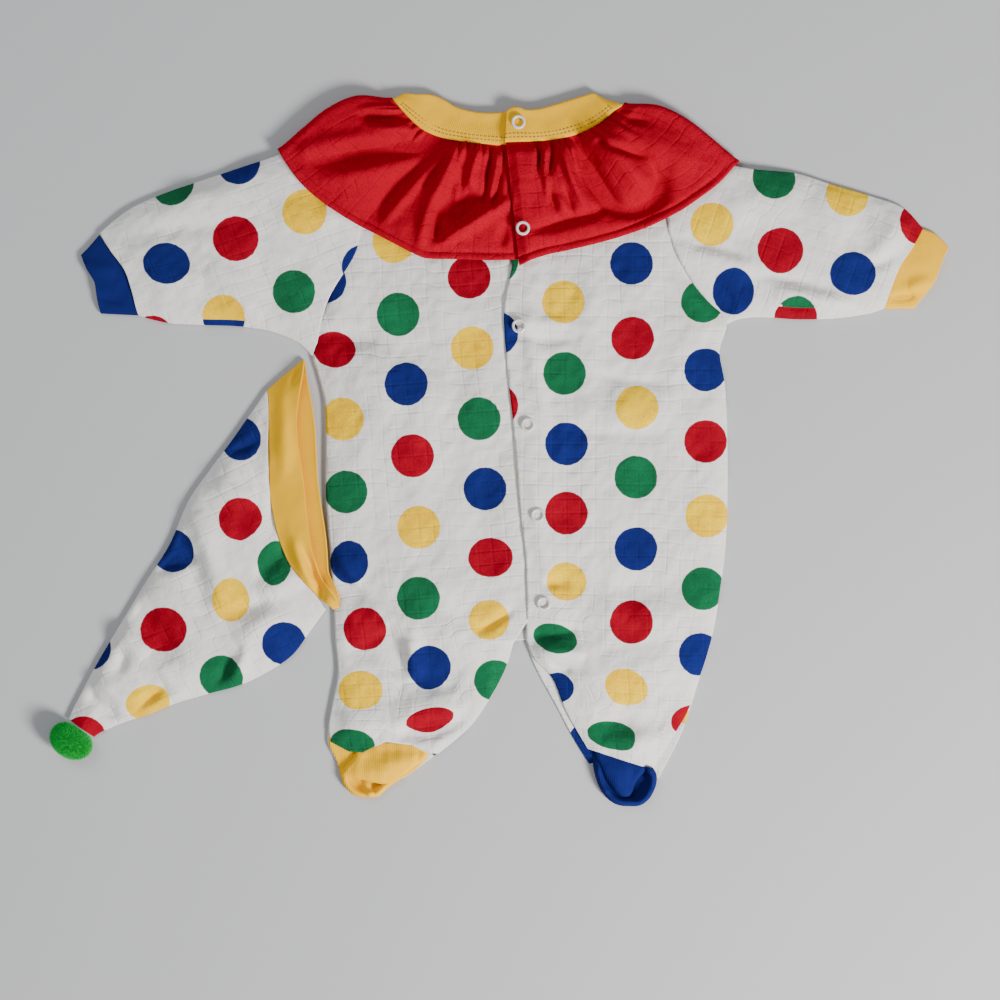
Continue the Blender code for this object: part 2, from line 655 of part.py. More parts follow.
def ring_snap(name, x, y, level):
    """Open ring of a press snap, a square-edged hoop of sixteen sides."""
    mesh = bmesh.new()
    profile = ((SNAP_INNER, 0.0), (SNAP_OUTER, 0.0), (SNAP_OUTER, SNAP_HEIGHT * 0.6),
               (blend(SNAP_INNER, SNAP_OUTER, 0.5), SNAP_HEIGHT), (SNAP_INNER, SNAP_HEIGHT * 0.6))
    rings = []
    for side in range(SNAP_SIDES):
        angle = math.tau * side / SNAP_SIDES
        rings.append([mesh.verts.new(Vector((x + radius * math.cos(angle), y + radius * math.sin(angle),
                                             level + height)) * MM) for radius, height in profile])
    for side, ring in enumerate(rings):
        following = rings[(side + 1) % len(rings)]
        for corner in range(len(profile)):
            after = (corner + 1) % len(profile)
            mesh.faces.new((ring[corner], following[corner], following[after], ring[after]))
    bmesh.ops.recalc_face_normals(mesh, faces=mesh.faces)
    add_object(name, mesh, PEARL, 0.3)


def highest_under(x, y, names):
    """Top of the named pieces within a snap's reach of a point, in millimetres."""
    top = 0.0
    for name in names:
        if name not in bpy.data.objects:
            continue
        piece = bpy.data.objects[name].data
        for face in piece.polygons:
            corners = [piece.vertices[index].co / MM for index in face.vertices]
            for dx in range(-2, 3):
                for dy in range(-2, 3):
                    spot = Vector((x + dx * SNAP_OUTER / 2, y + dy * SNAP_OUTER / 2, -100.0))
                    hit = intersect_ray_tri(*corners, Vector((0, 0, 1)), spot, True)
                    if hit:
                        top = max(top, hit.z)
    return top


def build_snaps():
    for name, x, y in SNAP_PLACES:
        level = highest_under(x, y, ("front_left", "collar", "neckband"))
        ring_snap(name, x, y, level + GAP)


def build_pompom():
    mesh = bmesh.new()
    bmesh.ops.create_uvsphere(mesh, u_segments=16, v_segments=10, radius=1.0)
    for vert in mesh.verts:
        angle = math.atan2(vert.co.y, vert.co.x)
        turn = math.remainder(angle - POMPOM_DENT_DIRECTION, math.tau)
        inward = 1 - POMPOM_DENT * math.exp(-(turn / POMPOM_DENT_WIDTH) ** 2)
        vert.co.x *= POMPOM_RADII[0] * inward
        vert.co.y *= POMPOM_RADII[1] * inward
        vert.co.z *= POMPOM_RADII[2]
        vert.co = (vert.co + Vector(POMPOM_PLACE)) * MM
    bmesh.ops.recalc_face_normals(mesh, faces=mesh.faces)
    add_object("pompom", mesh, GREEN)


build_body()
build_tubes()
build_neckband()
build_collar()
build_feet()
build_snaps()
build_pompom()
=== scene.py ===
"""Baby's clown costume laid flat: a dotted romper with a gathered red collar,
coloured cuffs and feet and a snap front, and its cone hat with a pompom."""
import math
from collections import namedtuple

import bpy
import bmesh
import numpy as np
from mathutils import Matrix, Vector


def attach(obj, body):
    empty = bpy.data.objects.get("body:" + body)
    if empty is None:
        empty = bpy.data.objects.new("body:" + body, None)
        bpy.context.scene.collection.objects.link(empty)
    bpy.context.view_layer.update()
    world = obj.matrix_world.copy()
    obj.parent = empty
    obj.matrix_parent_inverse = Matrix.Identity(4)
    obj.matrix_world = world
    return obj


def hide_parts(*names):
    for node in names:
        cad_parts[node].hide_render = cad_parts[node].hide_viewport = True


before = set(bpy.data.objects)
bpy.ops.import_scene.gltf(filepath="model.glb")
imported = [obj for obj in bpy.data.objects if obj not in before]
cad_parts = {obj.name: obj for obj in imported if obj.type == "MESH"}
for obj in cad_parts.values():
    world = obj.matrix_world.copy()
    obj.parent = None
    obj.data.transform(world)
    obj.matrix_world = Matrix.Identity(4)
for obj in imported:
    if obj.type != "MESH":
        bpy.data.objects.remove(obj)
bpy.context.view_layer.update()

# ---------------------------------------------------------------- dotted cloth
# The romper and the hat are cut from one off-white double knit, printed with
# round dots in four colours that climb half a step from column to column. Fine
# stitched lines every centimetre hold its two faces together and pucker it.
MM = 0.001
KNIT_WHITE = (0.80, 0.785, 0.76)
KNIT_LINE = (0.60, 0.585, 0.565)
STAIN = (0.78, 0.66, 0.62)
WORN_INK = (0.02, 0.02, 0.02)
DOT_COLOURS = (
    (0.30, 0.0, 0.012), (1.0, 0.54, 0.010), (0.009, 0.118, 0.044), (0.007, 0.014, 0.125),
)
DOT_COLUMN = 48.5
DOT_STEP = 50.0
DOT_CLIMB = 1.5
DOT_RADIUS = 15.0
DOT_EDGE = 0.35
DOT_WOBBLE = 1.1
QUILT_STEP = 10.0
QUILT_STRAY = 1.6
QUILT_LINE_WIDTH = 0.42
PUCKER_WIDTH = 1.3
PUCKER_LONG = 0.00026
PUCKER_CROSS = 0.00020
GRAIN = 0.00010
KNIT_ROUGHNESS = 0.88


class Value:
    """A shader socket that takes Python arithmetic."""

    def __init__(self, tree, socket):
        self.tree = tree
        self.socket = socket

    def node(self, kind, settings=None, **inputs):
        """Any node: its settings are set first, then the values or links of its sockets."""
        made = self.tree.nodes.new(kind)
        for key, value in (settings or {}).items():
            setattr(made, key, value)
        for key, value in inputs.items():
            index = int(key[1:]) if key[0] == "i" and key[1:].isdigit() else key.replace("_", " ")
            if isinstance(value, Value):
                self.tree.links.new(value.socket, made.inputs[index])
            else:
                made.inputs[index].default_value = value
        return made

    def wrap(self, made, output=0):
        return Value(self.tree, made.outputs[output])

    def math(self, operation, *others):
        inputs = {"i%d" % place: other for place, other in enumerate((self, *others))}
        return self.wrap(self.node("ShaderNodeMath", {"operation": operation}, **inputs))

    def __add__(self, other):
        return self.math("ADD", other)

    def __mul__(self, other):
        return self.math("MULTIPLY", other)

    def __sub__(self, other):
        return self.math("SUBTRACT", other)

    def __truediv__(self, other):
        return self.math("DIVIDE", other)

    def __rsub__(self, other):
        return self.math("MULTIPLY", -1.0) + other

    __radd__ = __add__
    __rmul__ = __mul__

    def smooth(self, low, high):
        """0 below low and 1 above high, eased between; low may be the larger."""
        made = self.node("ShaderNodeMapRange", {"interpolation_type": "SMOOTHSTEP"},
                         i0=self, i1=low, i2=high, i3=0.0, i4=1.0)
        return self.wrap(made)

    def noise(self, scale, detail=2.0, rough=0.5):
        """Noise over this vector, about 0.5."""
        made = self.node("ShaderNodeTexNoise", {}, Vector=self, Scale=scale, Detail=detail,
                         Roughness=rough)
        return self.wrap(made)

    def mix(self, low, high):
        """Colour between low and high by this value."""
        made = self.node("ShaderNodeMix", {"data_type": "RGBA"}, i0=self)
        for index, colour in ((6, low), (7, high)):
            if isinstance(colour, Value):
                self.tree.links.new(colour.socket, made.inputs[index])
            else:
                made.inputs[index].default_value = (*colour, 1.0)
        return self.wrap(made, 2)

    def feed(self, shader, socket):
        self.tree.links.new(self.socket, shader.inputs[socket])

    def bump(self, shader):
        """Tilts a shader's normal by this height in metres."""
        made = self.node("ShaderNodeBump", Strength=1.0, Distance=1.0, Height=self)
        self.wrap(made).feed(shader, "Normal")


def new_finish(name, rough):
    """A plain Principled material, its shader, and a Value of the piece's coordinates."""
    made = bpy.data.materials.new(name)
    made.use_nodes = True
    tree = made.node_tree
    shader = tree.nodes["Principled BSDF"]
    shader.inputs["Roughness"].default_value = rough
    return made, shader, Value(tree, tree.nodes.new("ShaderNodeTexCoord").outputs["Object"])


def cloth_places(place):
    """The cloth's own two directions in millimetres, from the piece's UV map."""
    flat = place.wrap(place.node("ShaderNodeUVMap", {"uv_map": "cloth"}))
    parts = place.node("ShaderNodeSeparateXYZ", Vector=flat)
    return place.wrap(parts, 0) * (1 / MM), place.wrap(parts, 1) * (1 / MM)


def cloth_finish(name, colour, height, rough):
    """Joins a colour and a height in metres to a soft matt cloth shader."""
    made, shader, place = new_finish(name, rough)
    across, along = cloth_places(place)
    colour(place, across, along).feed(shader, "Base Color")
    height(place, across, along).bump(shader)
    shader.inputs["Specular IOR Level"].default_value = 0.08
    return made


def shaded(colour, share):
    """A colour made darker or lighter."""
    return [min(1, part * share) for part in colour]


def quilt_line(across, width):
    """1 on the stitched lines that run every step, falling to 0 within width."""
    near = ((across / QUILT_STEP).math("FRACT") - 0.5).math("ABSOLUTE") * QUILT_STEP
    return near.smooth(QUILT_STEP / 2 - width, QUILT_STEP / 2)


def quilt_lines(place, across, along, width):
    """The two sets of stitched lines, which stray a little from straight."""
    long_stray = (place.noise(20.0) - 0.5) * QUILT_STRAY
    cross_stray = (place.noise(18.0) - 0.5) * QUILT_STRAY
    return quilt_line(along + long_stray, width), quilt_line(across + cross_stray, width)


def dot_print(place, turn):
    """The colour of the dots at a turn from 0 to 3, worn unevenly."""
    wear = (place.noise(900.0, 3.0) * 0.5 + place.noise(70.0) * 0.5).smooth(0.25, 0.8)
    dots = None
    for index, tint in enumerate(DOT_COLOURS):
        worn = wear.mix(shaded(tint, 0.72), shaded(tint, 1.25))
        mask = (turn - float(index)).math("ABSOLUTE").smooth(0.6, 0.4)
        dots = worn if dots is None else mask.mix(dots, worn)
    return dots


def dot_colour(place, across, along):
    """The printed cloth: four colours in turn down each column of dots."""
    column = (across / DOT_COLUMN).math("ROUND")
    climb = along / DOT_STEP - column * DOT_CLIMB
    number = climb.math("ROUND")
    side = across - column * DOT_COLUMN
    drop = (climb - number) * DOT_STEP
    reach = (side * side + drop * drop).math("SQRT") + (place.noise(260.0) - 0.5) * DOT_WOBBLE
    inside = reach.smooth(DOT_RADIUS + DOT_EDGE, DOT_RADIUS - DOT_EDGE)
    dots = dot_print(place, number.math("FLOORED_MODULO", float(len(DOT_COLOURS))))
    lines, cross = quilt_lines(place, across, along, QUILT_LINE_WIDTH)
    seen = lines * place.noise(55.0).smooth(0.42, 0.62) * 0.7
    seen = seen.math("MAXIMUM", cross * place.noise(48.0).smooth(0.48, 0.66) * 0.6)
    cloud = place.noise(9.0, 3.0).smooth(0.35, 0.7)
    base = cloud.mix(KNIT_WHITE, shaded(KNIT_WHITE, 0.95))
    base = place.noise(1500.0).smooth(0.2, 0.9).mix(shaded(KNIT_WHITE, 0.9), base)
    base = (seen * 0.62).mix(base, KNIT_LINE)
    stain = place.noise(14.0, 1.0).smooth(0.66, 0.8)
    base = (stain * 0.35).mix(base, STAIN)
    return inside.mix(base, (seen * 0.16).mix(dots, WORN_INK))


def quilt_height(place, across, along):
    """Puckers beside the stitched lines, and the knit's grain."""
    lines, cross = quilt_lines(place, across, along, PUCKER_WIDTH)
    grain = place.noise(1600.0) * GRAIN
    crinkle = place.noise(120.0, 3.0) * 0.0009 + place.noise(38.0) * 0.0030
    patchy = place.noise(50.0).smooth(0.3, 0.65)
    return grain + crinkle - (lines * PUCKER_LONG + cross * PUCKER_CROSS) * patchy


dotted_finish = cloth_finish("dotted_knit", dot_colour, quilt_height, KNIT_ROUGHNESS)

# ------------------------------------------------------------- back and fronts
# The body is three pieces: a back with both leg backs, and two fronts that lap
# at the placket. They are cut with no waist, curve in to footed legs, and are
# sewn together down the sides. Laid flat, the fronts puff and crease a little.
CLOTH = 1.2
REST = 0.75
FRONT_GAP = 1.45
FRONT_PUFF = 4.2
PUFF_REACH = 9.0
LAP_RISE = 1.5
LAP_WIDTH = 18
COLLAR_HEM = 146
HEM_TOP = -186
COLLAR_CENTRE = (5.0, 300.0)
COLLAR_REACH = 201.0
COLLAR_SLOPE = 31.0
COLLAR_WALLS = 2.1
UV_JUMP = 0.03
BODY_RELIEF = 2.6
BODY_ROWS = 190
LEG_ROWS = 52
FRONT_COLUMNS = 84
BACK_COLUMNS = 141
ARMHOLE_KNOTS = 12
LEG_PARTING = 66
CROTCH_TOP = -104
CROTCH_RIGHT = 9.5
CROTCH_LEFT = 18
Side = namedtuple("Side", "left_x left_y right_x right_y")
Crease = namedtuple("Crease", "start_x start_y bend_x bend_y end_x end_y width height")
Seam = namedtuple("Seam", "low_x low_y high_x high_y bow_low bow_mid bow_high puff")

SLEEVE_RIGHT = (
    Seam(-131, 64, -108, 224, 4, 19, 14, 1.0), Seam(-142, 74.5, -132, 214, 3, 12, 8, 3.0),
    Seam(-160, 82, -158, 203, 1, 4, 3, 5.0), Seam(-182, 85.5, -184, 194.5, 0, 0, 0, 7.0),
    Seam(-206, 86.5, -210, 186, 0, 0, 0, 7.5), Seam(-229, 87.5, -236, 177, 0, 0, 0, 6.5),
    Seam(-242, 90, -260, 166, 0, 2, 0, 5.0), Seam(-253, 93, -280, 150, 3, 5, 2, 4.0),
)
SLEEVE_LEFT = (
    Seam(158, 87, 124, 221, 15.5, 22.5, 15, 1.0), Seam(168, 91, 150, 202, 6, 12, 8, 3.0),
    Seam(184, 92, 174, 194.5, 2, 4, 3, 5.0), Seam(207, 90.5, 206, 191.5, 0, 0, 0, 7.0),
    Seam(232, 91, 232, 183.5, 0, 0, 0, 7.5), Seam(252, 93.5, 259, 175.5, 0, 0, 0, 6.0),
    Seam(261, 95.5, 281, 167.5, 0, 1, 1, 5.0), Seam(268, 98, 295, 153, 2, 3, 1, 4.0),
)
BODY_SIDES = (
    Side(-127, 50, 153, 68), Side(-123, 33, 156.5, 45), Side(-122, 15, 158, 20),
    Side(-122, -5, 158.5, -5), Side(-122, -28, 158.5, -28), Side(-121, -52, 158, -52),
    Side(-119, -75, 156.5, -75), Side(-117.5, -97, 153.5, -97), Side(-116, -118, 150.5, -118),
    Side(-115.5, -134.5, 147, -134.5),
)
LEG_RIGHT = (
    Side(-115.5, -134.5, 9.5, -134.5), Side(-113.5, -157, 2.5, -156), Side(-117, -177, -9, -177),
    Side(-120, -194, -22, -195), Side(-120.5, -208, -40, -210.5), Side(-112, -223.5, -68, -231),
)
LEG_RIGHT_FRONT = (
    Side(-115.5, -134.5, 9.5, -134.5), Side(-113.5, -157, 2.5, -156), Side(-117, -177, -9, -177),
    Side(-120, -194, -22, -195), Side(-118.5, -205.5, -43.5, -213.5),
)
LEG_LEFT = (
    Side(18, -134.5, 147, -134.5), Side(22, -148, 142.5, -150), Side(30, -164, 137, -168),
    Side(41, -184, 131, -187), Side(51, -203, 124, -205), Side(62, -221, 110.5, -231),
)
LEG_LEFT_FRONT = (
    Side(18, -134.5, 147, -134.5), Side(23.5, -147, 142.5, -150), Side(36.5, -161, 136, -168),
    Side(46, -184, 129, -187), Side(61, -210, 106, -224.5),
)
NECK_LINE = (
    (-108, 224), (-74, 237), (-66, 229.5), (-57, 223), (-42, 215.5), (-25, 212.7), (3, 210.2),
    (28, 212), (45, 215), (58, 219), (70, 225), (78, 231.5), (84, 235), (124, 221),
)
PLACKET_EDGE = (
    (-140, 17.7), (-118, 18.3), (-106, 18.7), (-92, 18.2), (-78, 17.8), (-60, 15.6), (-36, 13.2),
    (0, 10.3), (20, 8.6), (40, 6.3), (75, 3.2), (90, 2.3), (103, 2.6), (130, 8), (160, 6), (230, 3),
)
LEG_HEM = ((-118, 0), (-106, -5), (-96, -4.5), (-88, 0.5), (-80, 4.6), (-62, 4.2), (-52, 0), (-43, 0))
UNDER_EDGE = ((-134.5, 10), (-118, 21), (-97, 40), (-75, 42), (0, 34.5), (230, 27))
BODY_CREASES = (
    Crease(-132, 88, -112, 76, -84, 74, 7, -1.6), Crease(-118, 62, -80, 44, -34, 26, 17, 2.2),
    Crease(-96, 96, -60, 66, -14, 40, 15, -1.5), Crease(-100, 20, -70, 8, -30, 0, 18, 1.2),
    Crease(4, 79, 24, 76, 52, 75, 4.5, -1.3), Crease(2, 88, 30, 88, 62, 84, 5, 1.0),
    Crease(60, 52, 100, 44, 132, 45, 5, -1.0), Crease(40, 12, 80, 9, 112, 10, 4.0, -0.9),
    Crease(50, 26, 90, 24, 140, 30, 13, 1.6), Crease(112, 22, 130, 34, 148, 40, 10, -1.2),
    Crease(-124, -66, -114, -82, -96, -96, 5.5, 3.2), Crease(-122, -80, -112, -94, -94, -108, 7, -2.2),
    Crease(-70, -92, -50, -104, -20, -96, 14, 1.3), Crease(-18, -128, -4, -124, 9, -112, 3.4, -1.7),
    Crease(-110, -142, -94, -144, -80, -134, 9, -1.8), Crease(-84, -124, -74, -140, -66, -162, 9, -2.6),
    Crease(-62, -132, -64, -146, -58, -160, 6, 2.4), Crease(-66, -166, -48, -160, -30, -168, 9, -2.0),
    Crease(-74, -199, -50, -198, -26, -192, 6, -2.8), Crease(-78, -188, -50, -184, -30, -180, 10, 2.0),
    Crease(-112, -186, -96, -190, -84, -200, 9, 1.8), Crease(-100, -116, -60, -124, -8, -140, 12, 1.6),
    Crease(18, -133, 34, -130, 56, -128, 4.5, -2.0), Crease(20, -140, 40, -142, 60, -144, 5.5, 2.0),
    Crease(30, -94, 38, -93, 47, -96, 3.0, -1.8), Crease(20, -136, 26, -146, 36, -155, 3.6, 1.8),
    Crease(33, -151, 42, -157, 50, -154, 3.2, -1.6), Crease(60, -110, 92, -122, 130, -116, 14, 1.5),
    Crease(74, -98, 104, -100, 132, -92, 12, -1.4), Crease(56, -152, 92, -158, 130, -152, 13, 1.4),
    Crease(64, -186, 88, -194, 118, -190, 8, -1.4), Crease(70, -204, 92, -208, 112, -202, 7, 1.5),
    Crease(16, 96, 22, 60, 30, 30, 5, 0.9), Crease(22, -20, 28, -60, 32, -100, 6, 0.9),
    Crease(120, 120, 134, 108, 150, 96, 5, 1.2), Crease(62, 128, 66, 90, 64, 50, 9, 0.8),
)


def blend(start, end, part):
    return start + (end - start) * part


def ease(part):
    part = np.clip(part, 0.0, 1.0)
    return part * part * (3 - 2 * part)


def through(points, parts):
    """Smooth curve through evenly counted points, read at parts from 0 to 1."""
    knots = np.asarray(points, float)
    if knots.ndim == 1:
        knots = knots[:, None]
    place = np.clip(np.asarray(parts, float), 0, 1) * (len(knots) - 1)
    index = np.clip(place.astype(int), 0, len(knots) - 2)
    t = (place - index)[..., None]
    before = knots[np.maximum(index - 1, 0)]
    here = knots[index]
    there = knots[index + 1]
    after = knots[np.minimum(index + 2, len(knots) - 1)]
    return 0.5 * (2 * here + (there - before) * t + (2 * before - 5 * here + 4 * there - after) * t ** 2
                  + (3 * here - before - 3 * there + after) * t ** 3)


def read(table, key):
    return np.interp(key, [row[0] for row in table], [row[1] for row in table])


def seam_line(seam, parts, towards):
    """Points of a seam across a sleeve or hat, bowed towards +X (1) or -X (-1)."""
    low = np.array((seam.low_x, seam.low_y))
    high = np.array((seam.high_x, seam.high_y))
    line = (high - low) / np.linalg.norm(high - low)
    side = np.array((line[1], -line[0])) * towards
    swing = through((0, seam.bow_low, seam.bow_mid, seam.bow_high, 0), parts)
    return low + (high - low) * parts[:, None] + side * swing


def crease_height(creases, x, y):
    """Sum of soft ridges and troughs, each along a bent line that fades at its ends."""
    height = np.zeros_like(x)
    steps = np.linspace(0, 1, 13)[:, None]
    for crease in creases:
        start = np.array((crease.start_x, crease.start_y))
        bend = np.array((crease.bend_x, crease.bend_y))
        end = np.array((crease.end_x, crease.end_y))
        line = start * (1 - steps) ** 2 + 2 * bend * steps * (1 - steps) + end * steps ** 2
        reach = 3 * crease.width
        near = ((x > line[:, 0].min() - reach) & (x < line[:, 0].max() + reach)
                & (y > line[:, 1].min() - reach) & (y < line[:, 1].max() + reach))
        if not near.any():
            continue
        px, py = x[near], y[near]
        best = np.full(px.shape, 1e9)
        place = np.zeros(px.shape)
        for index in range(len(line) - 1):
            run = line[index + 1] - line[index]
            part = np.clip(((px - line[index, 0]) * run[0] + (py - line[index, 1]) * run[1])
                           / (run @ run), 0, 1)
            away = np.hypot(px - line[index, 0] - run[0] * part, py - line[index, 1] - run[1] * part)
            closer = away < best
            best = np.where(closer, away, best)
            place = np.where(closer, (index + part) / (len(line) - 1), place)
        taper = np.sin(np.pi * np.clip(place, 0.02, 0.98)) ** 0.6
        width = crease.width * (0.75 + 0.25 * taper)
        height[near] += crease.height * taper * np.exp(-(best / width) ** 2)
    return height


def collar_lift(x, y):
    """Height of the romper over the collar's back, which lies under its shoulders."""
    distance = np.hypot(x - COLLAR_CENTRE[0], y - COLLAR_CENTRE[1])
    return COLLAR_WALLS * (1 - ease((distance - COLLAR_REACH) / COLLAR_SLOPE))


def wander(x, y, size, seed):
    """Gentle repeatable unevenness, about -1 to 1, from a few crossed waves."""
    rng = np.random.default_rng(seed)
    total = np.zeros_like(x)
    for _ in range(7):
        angle = rng.uniform(0, math.tau)
        rate = math.tau / (size * rng.uniform(0.6, 1.7))
        total += np.sin((x * math.cos(angle) + y * math.sin(angle)) * rate + rng.uniform(0, math.tau))
    return total / 3.5


def placed(name, data):
    """An object with this data, put into the scene."""
    made = bpy.data.objects.new(name, data)
    bpy.context.collection.objects.link(made)
    return made


def shell(name, points, cloth_uv, finish, nodes, closed=False, wall=CLOTH, kept=None):
    """Thin cloth wall about a grid of points in millimetres, riding with the set."""
    rows, columns = points.shape[:2]
    padded = np.concatenate([points[:, -1:], points, points[:, :1]], 1) if closed else points
    across = np.gradient(padded, axis=1)
    down = np.gradient(padded, axis=0)
    normal = np.cross(across, down)
    normal /= np.maximum(np.linalg.norm(normal, axis=2, keepdims=True), 1e-9)
    if closed:
        normal = normal[:, 1:-1]
    skins = np.concatenate([(points + normal * wall / 2).reshape(-1, 3),
                            (points - normal * wall / 2).reshape(-1, 3)]) * MM
    index = np.arange(rows * columns).reshape(rows, columns)
    if closed:
        index = np.concatenate([index, index[:, :1]], 1)
    a, b = index[:-1, :-1], index[:-1, 1:]
    c, d = index[1:, 1:], index[1:, :-1]
    cells = np.stack([a, b, c, d], -1)
    if kept is not None:
        cells = cells[kept]
    cells = cells.reshape(-1, 4)
    total = rows * columns
    edges = np.concatenate([cells[:, [k, (k + 1) % 4]] for k in range(4)])
    keys = edges[:, 0] * total + edges[:, 1]
    back = edges[:, 1] * total + edges[:, 0]
    rim = edges[~np.isin(keys, back)]
    faces = np.concatenate([cells, cells[:, ::-1] + total,
                            np.stack([rim[:, 1], rim[:, 0], rim[:, 0] + total, rim[:, 1] + total], -1)])
    used, faces = np.unique(faces, return_inverse=True)
    faces = faces.reshape(-1, 4)
    mesh = bpy.data.meshes.new(name)
    mesh.from_pydata(skins[used].tolist(), [], faces.tolist())
    mapping = np.tile(cloth_uv.reshape(-1, 2), (2, 1))[used] * MM
    layer = mesh.uv_layers.new(name="cloth")
    corners = mapping[faces]
    apart = np.ptp(corners, axis=1).max(1) > UV_JUMP
    corners[apart] = corners[apart, :1]
    layer.data.foreach_set("uv", corners.ravel())
    mesh.polygons.foreach_set("use_smooth", np.ones(len(faces), bool))
    mesh.materials.append(finish)
    check = bmesh.new()
    check.from_mesh(mesh)
    bmesh.ops.recalc_face_normals(check, faces=check.faces)
    check.to_mesh(mesh)
    check.free()
    piece = placed(name, mesh)
    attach(piece, "root")
    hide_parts(*nodes)
    return piece


Pull = namedtuple("Pull", "x y dx dy wide tall slant", defaults=(1.0, 1.0, 0.0))
PULL_REACH = 20.0
PULL_REST = 0.01


def pulled(x, y, pulls):
    """Where each point of folded cloth lay while flat: a pull moves, stretches and tilts one dot."""
    sum_x, sum_y, total = np.zeros_like(x), np.zeros_like(x), PULL_REST
    for pull in pulls:
        dx, dy = x - pull.x, y - pull.y
        near = np.exp(-(np.hypot(dx, dy) / PULL_REACH) ** 4)
        turn = math.radians(pull.slant)
        extra_long = (dx * math.cos(turn) + dy * math.sin(turn)) * (1 / pull.wide - 1)
        extra_short = (dy * math.cos(turn) - dx * math.sin(turn)) * (1 / pull.tall - 1)
        sum_x += near * (extra_long * math.cos(turn) - extra_short * math.sin(turn) - pull.dx)
        sum_y += near * (extra_long * math.sin(turn) + extra_short * math.cos(turn) - pull.dy)
        total = total + near
    return x + sum_x / total, y + sum_y / total


def print_places(x, y, origin, down):
    """Cloth directions in millimetres: along the columns of dots, and across them."""
    down = np.array(down) / np.hypot(*down)
    across = np.array((-down[1], down[0]))
    dx, dy = x - origin[0], y - origin[1]
    return np.stack([dx * across[0] + dy * across[1], dx * down[0] + dy * down[1]], -1)


def body_rows(count):
    """Left and right ends of the body's rows from the shoulders to the crotch."""
    parts = np.linspace(1, 0, ARMHOLE_KNOTS)
    left = seam_line(SLEEVE_RIGHT[0], parts, 1)
    right = seam_line(SLEEVE_LEFT[0], parts, -1)
    ends = [(*a, *b) for a, b in zip(left, right)] + [tuple(side) for side in BODY_SIDES]
    return through(ends, np.linspace(0, 1, count))


def body_grid(start, end, columns):
    """Plan of a body piece between two edges, each a function of height or a side."""
    left_x, left_y, right_x, right_y = body_rows(BODY_ROWS).T
    middle = (left_y + right_y) / 2
    first = left_x if start is None else read(start, middle)
    last = right_x if end is None else read(end, middle)
    x = first[:, None] + (last - first)[:, None] * np.linspace(0, 1, columns)
    share = (x - left_x[:, None]) / (right_x - left_x)[:, None]
    y = left_y[:, None] + (right_y - left_y)[:, None] * share
    chest = ARMHOLE_KNOTS / (ARMHOLE_KNOTS + len(BODY_SIDES))
    fade = np.clip(1 - np.linspace(0, 1, BODY_ROWS) / chest, 0, 1) ** 1.3
    (right_tip_x, right_tip_y), (left_tip_x, left_tip_y) = NECK_LINE[0], NECK_LINE[-1]
    neck = read(NECK_LINE, blend(right_tip_x, left_tip_x, share))
    y += (neck - blend(right_tip_y, left_tip_y, share)) * fade[:, None]
    return x, y


def side_grid(table, rows, columns):
    """Plan of a piece whose rows run from side to side between the points of a table."""
    ends = through([tuple(side) for side in table], np.linspace(0, 1, rows))
    parts = np.linspace(0, 1, columns)
    x = ends[:, 0:1] + (ends[:, 2:3] - ends[:, 0:1]) * parts
    y = ends[:, 1:2] + (ends[:, 3:4] - ends[:, 1:2]) * parts
    return x, y


def leg_grid(table, columns):
    """Plan of a leg without its top row, which is the body's last one."""
    x, y = side_grid(table, LEG_ROWS, columns)
    return x[1:], y[1:]


def front_height(x, y, side_gap, lap):
    """Middle of a front: down at the side seams, puffed and creased between them."""
    free = 0.12 + 0.88 * ease((COLLAR_HEM - y) / 70)
    puff = FRONT_PUFF * (1 - np.exp(-side_gap / PUFF_REACH)) * free
    rough = 0.8 * wander(x, y, 46, 3) + 0.34 * wander(x, y, 15, 5)
    rough = rough * (0.2 + 0.8 * ease((150 - y) / 30))
    creases = BODY_RELIEF * crease_height(BODY_CREASES, x, y) * ease((136 - y) / 18)
    calm = ease(side_gap / 14.0)
    rise = np.logaddexp(0, 3 * (puff + (rough + creases) * calm)) / 3
    return REST + collar_lift(x, y) + FRONT_GAP + rise + lap


PRINT_RIGHT = ((-61.3, -5.6), (0.087, -0.996))
PRINT_LEFT = ((45.9, -45.5), (0.0, -1.0))
PRINT_BACK = ((62.0, -56.0), (0.0, -1.0))
PULLS_RIGHT = (
    Pull(-122.5, 116, -2, 1.3), Pull(-115.8, 68.6, 0.3, 3.7, 1.0, 0.84, -12), Pull(-110, 20, 1.8, 5),
    Pull(-107.7, -30.6, -0.3, 4), Pull(-105.4, -79.6, -2.3, 4.9, 0.88, 1.0),
    Pull(-94.4, -126.2, 4.3, 8), Pull(-97.6, -169, -3.2, 15.1, 1.03, 0.91),
    Pull(-103.5, -206, -13.5, 27.9, 1.05, 0.7, -6), Pull(-21.8, 118.8, 2.1, -4.3),
    Pull(-19.7, 69.5, -0.2, -3.8), Pull(-15, 20.1, 0.2, -3.4), Pull(-10.8, -28.7, 0, -2.4),
    Pull(-7, -76.5, -0.5, -0.4, 1.04, 0.92), Pull(-57.3, -104.8, -4.7, 0.4),
    Pull(-71.3, 93.1, -1.3, -0.9), Pull(-8, -120, -6, 6, 0.95, 0.93, 20),
    Pull(-49.6, -152.6, -1.3, 2.4), Pull(-4.3, -162, -6.5, 13.8, 0.95, 0.95, 20),
    Pull(-49.4, -188.8, -5.5, 16, 1.13, 0.52, 12), Pull(-46, -214, -5.5, 16),
)
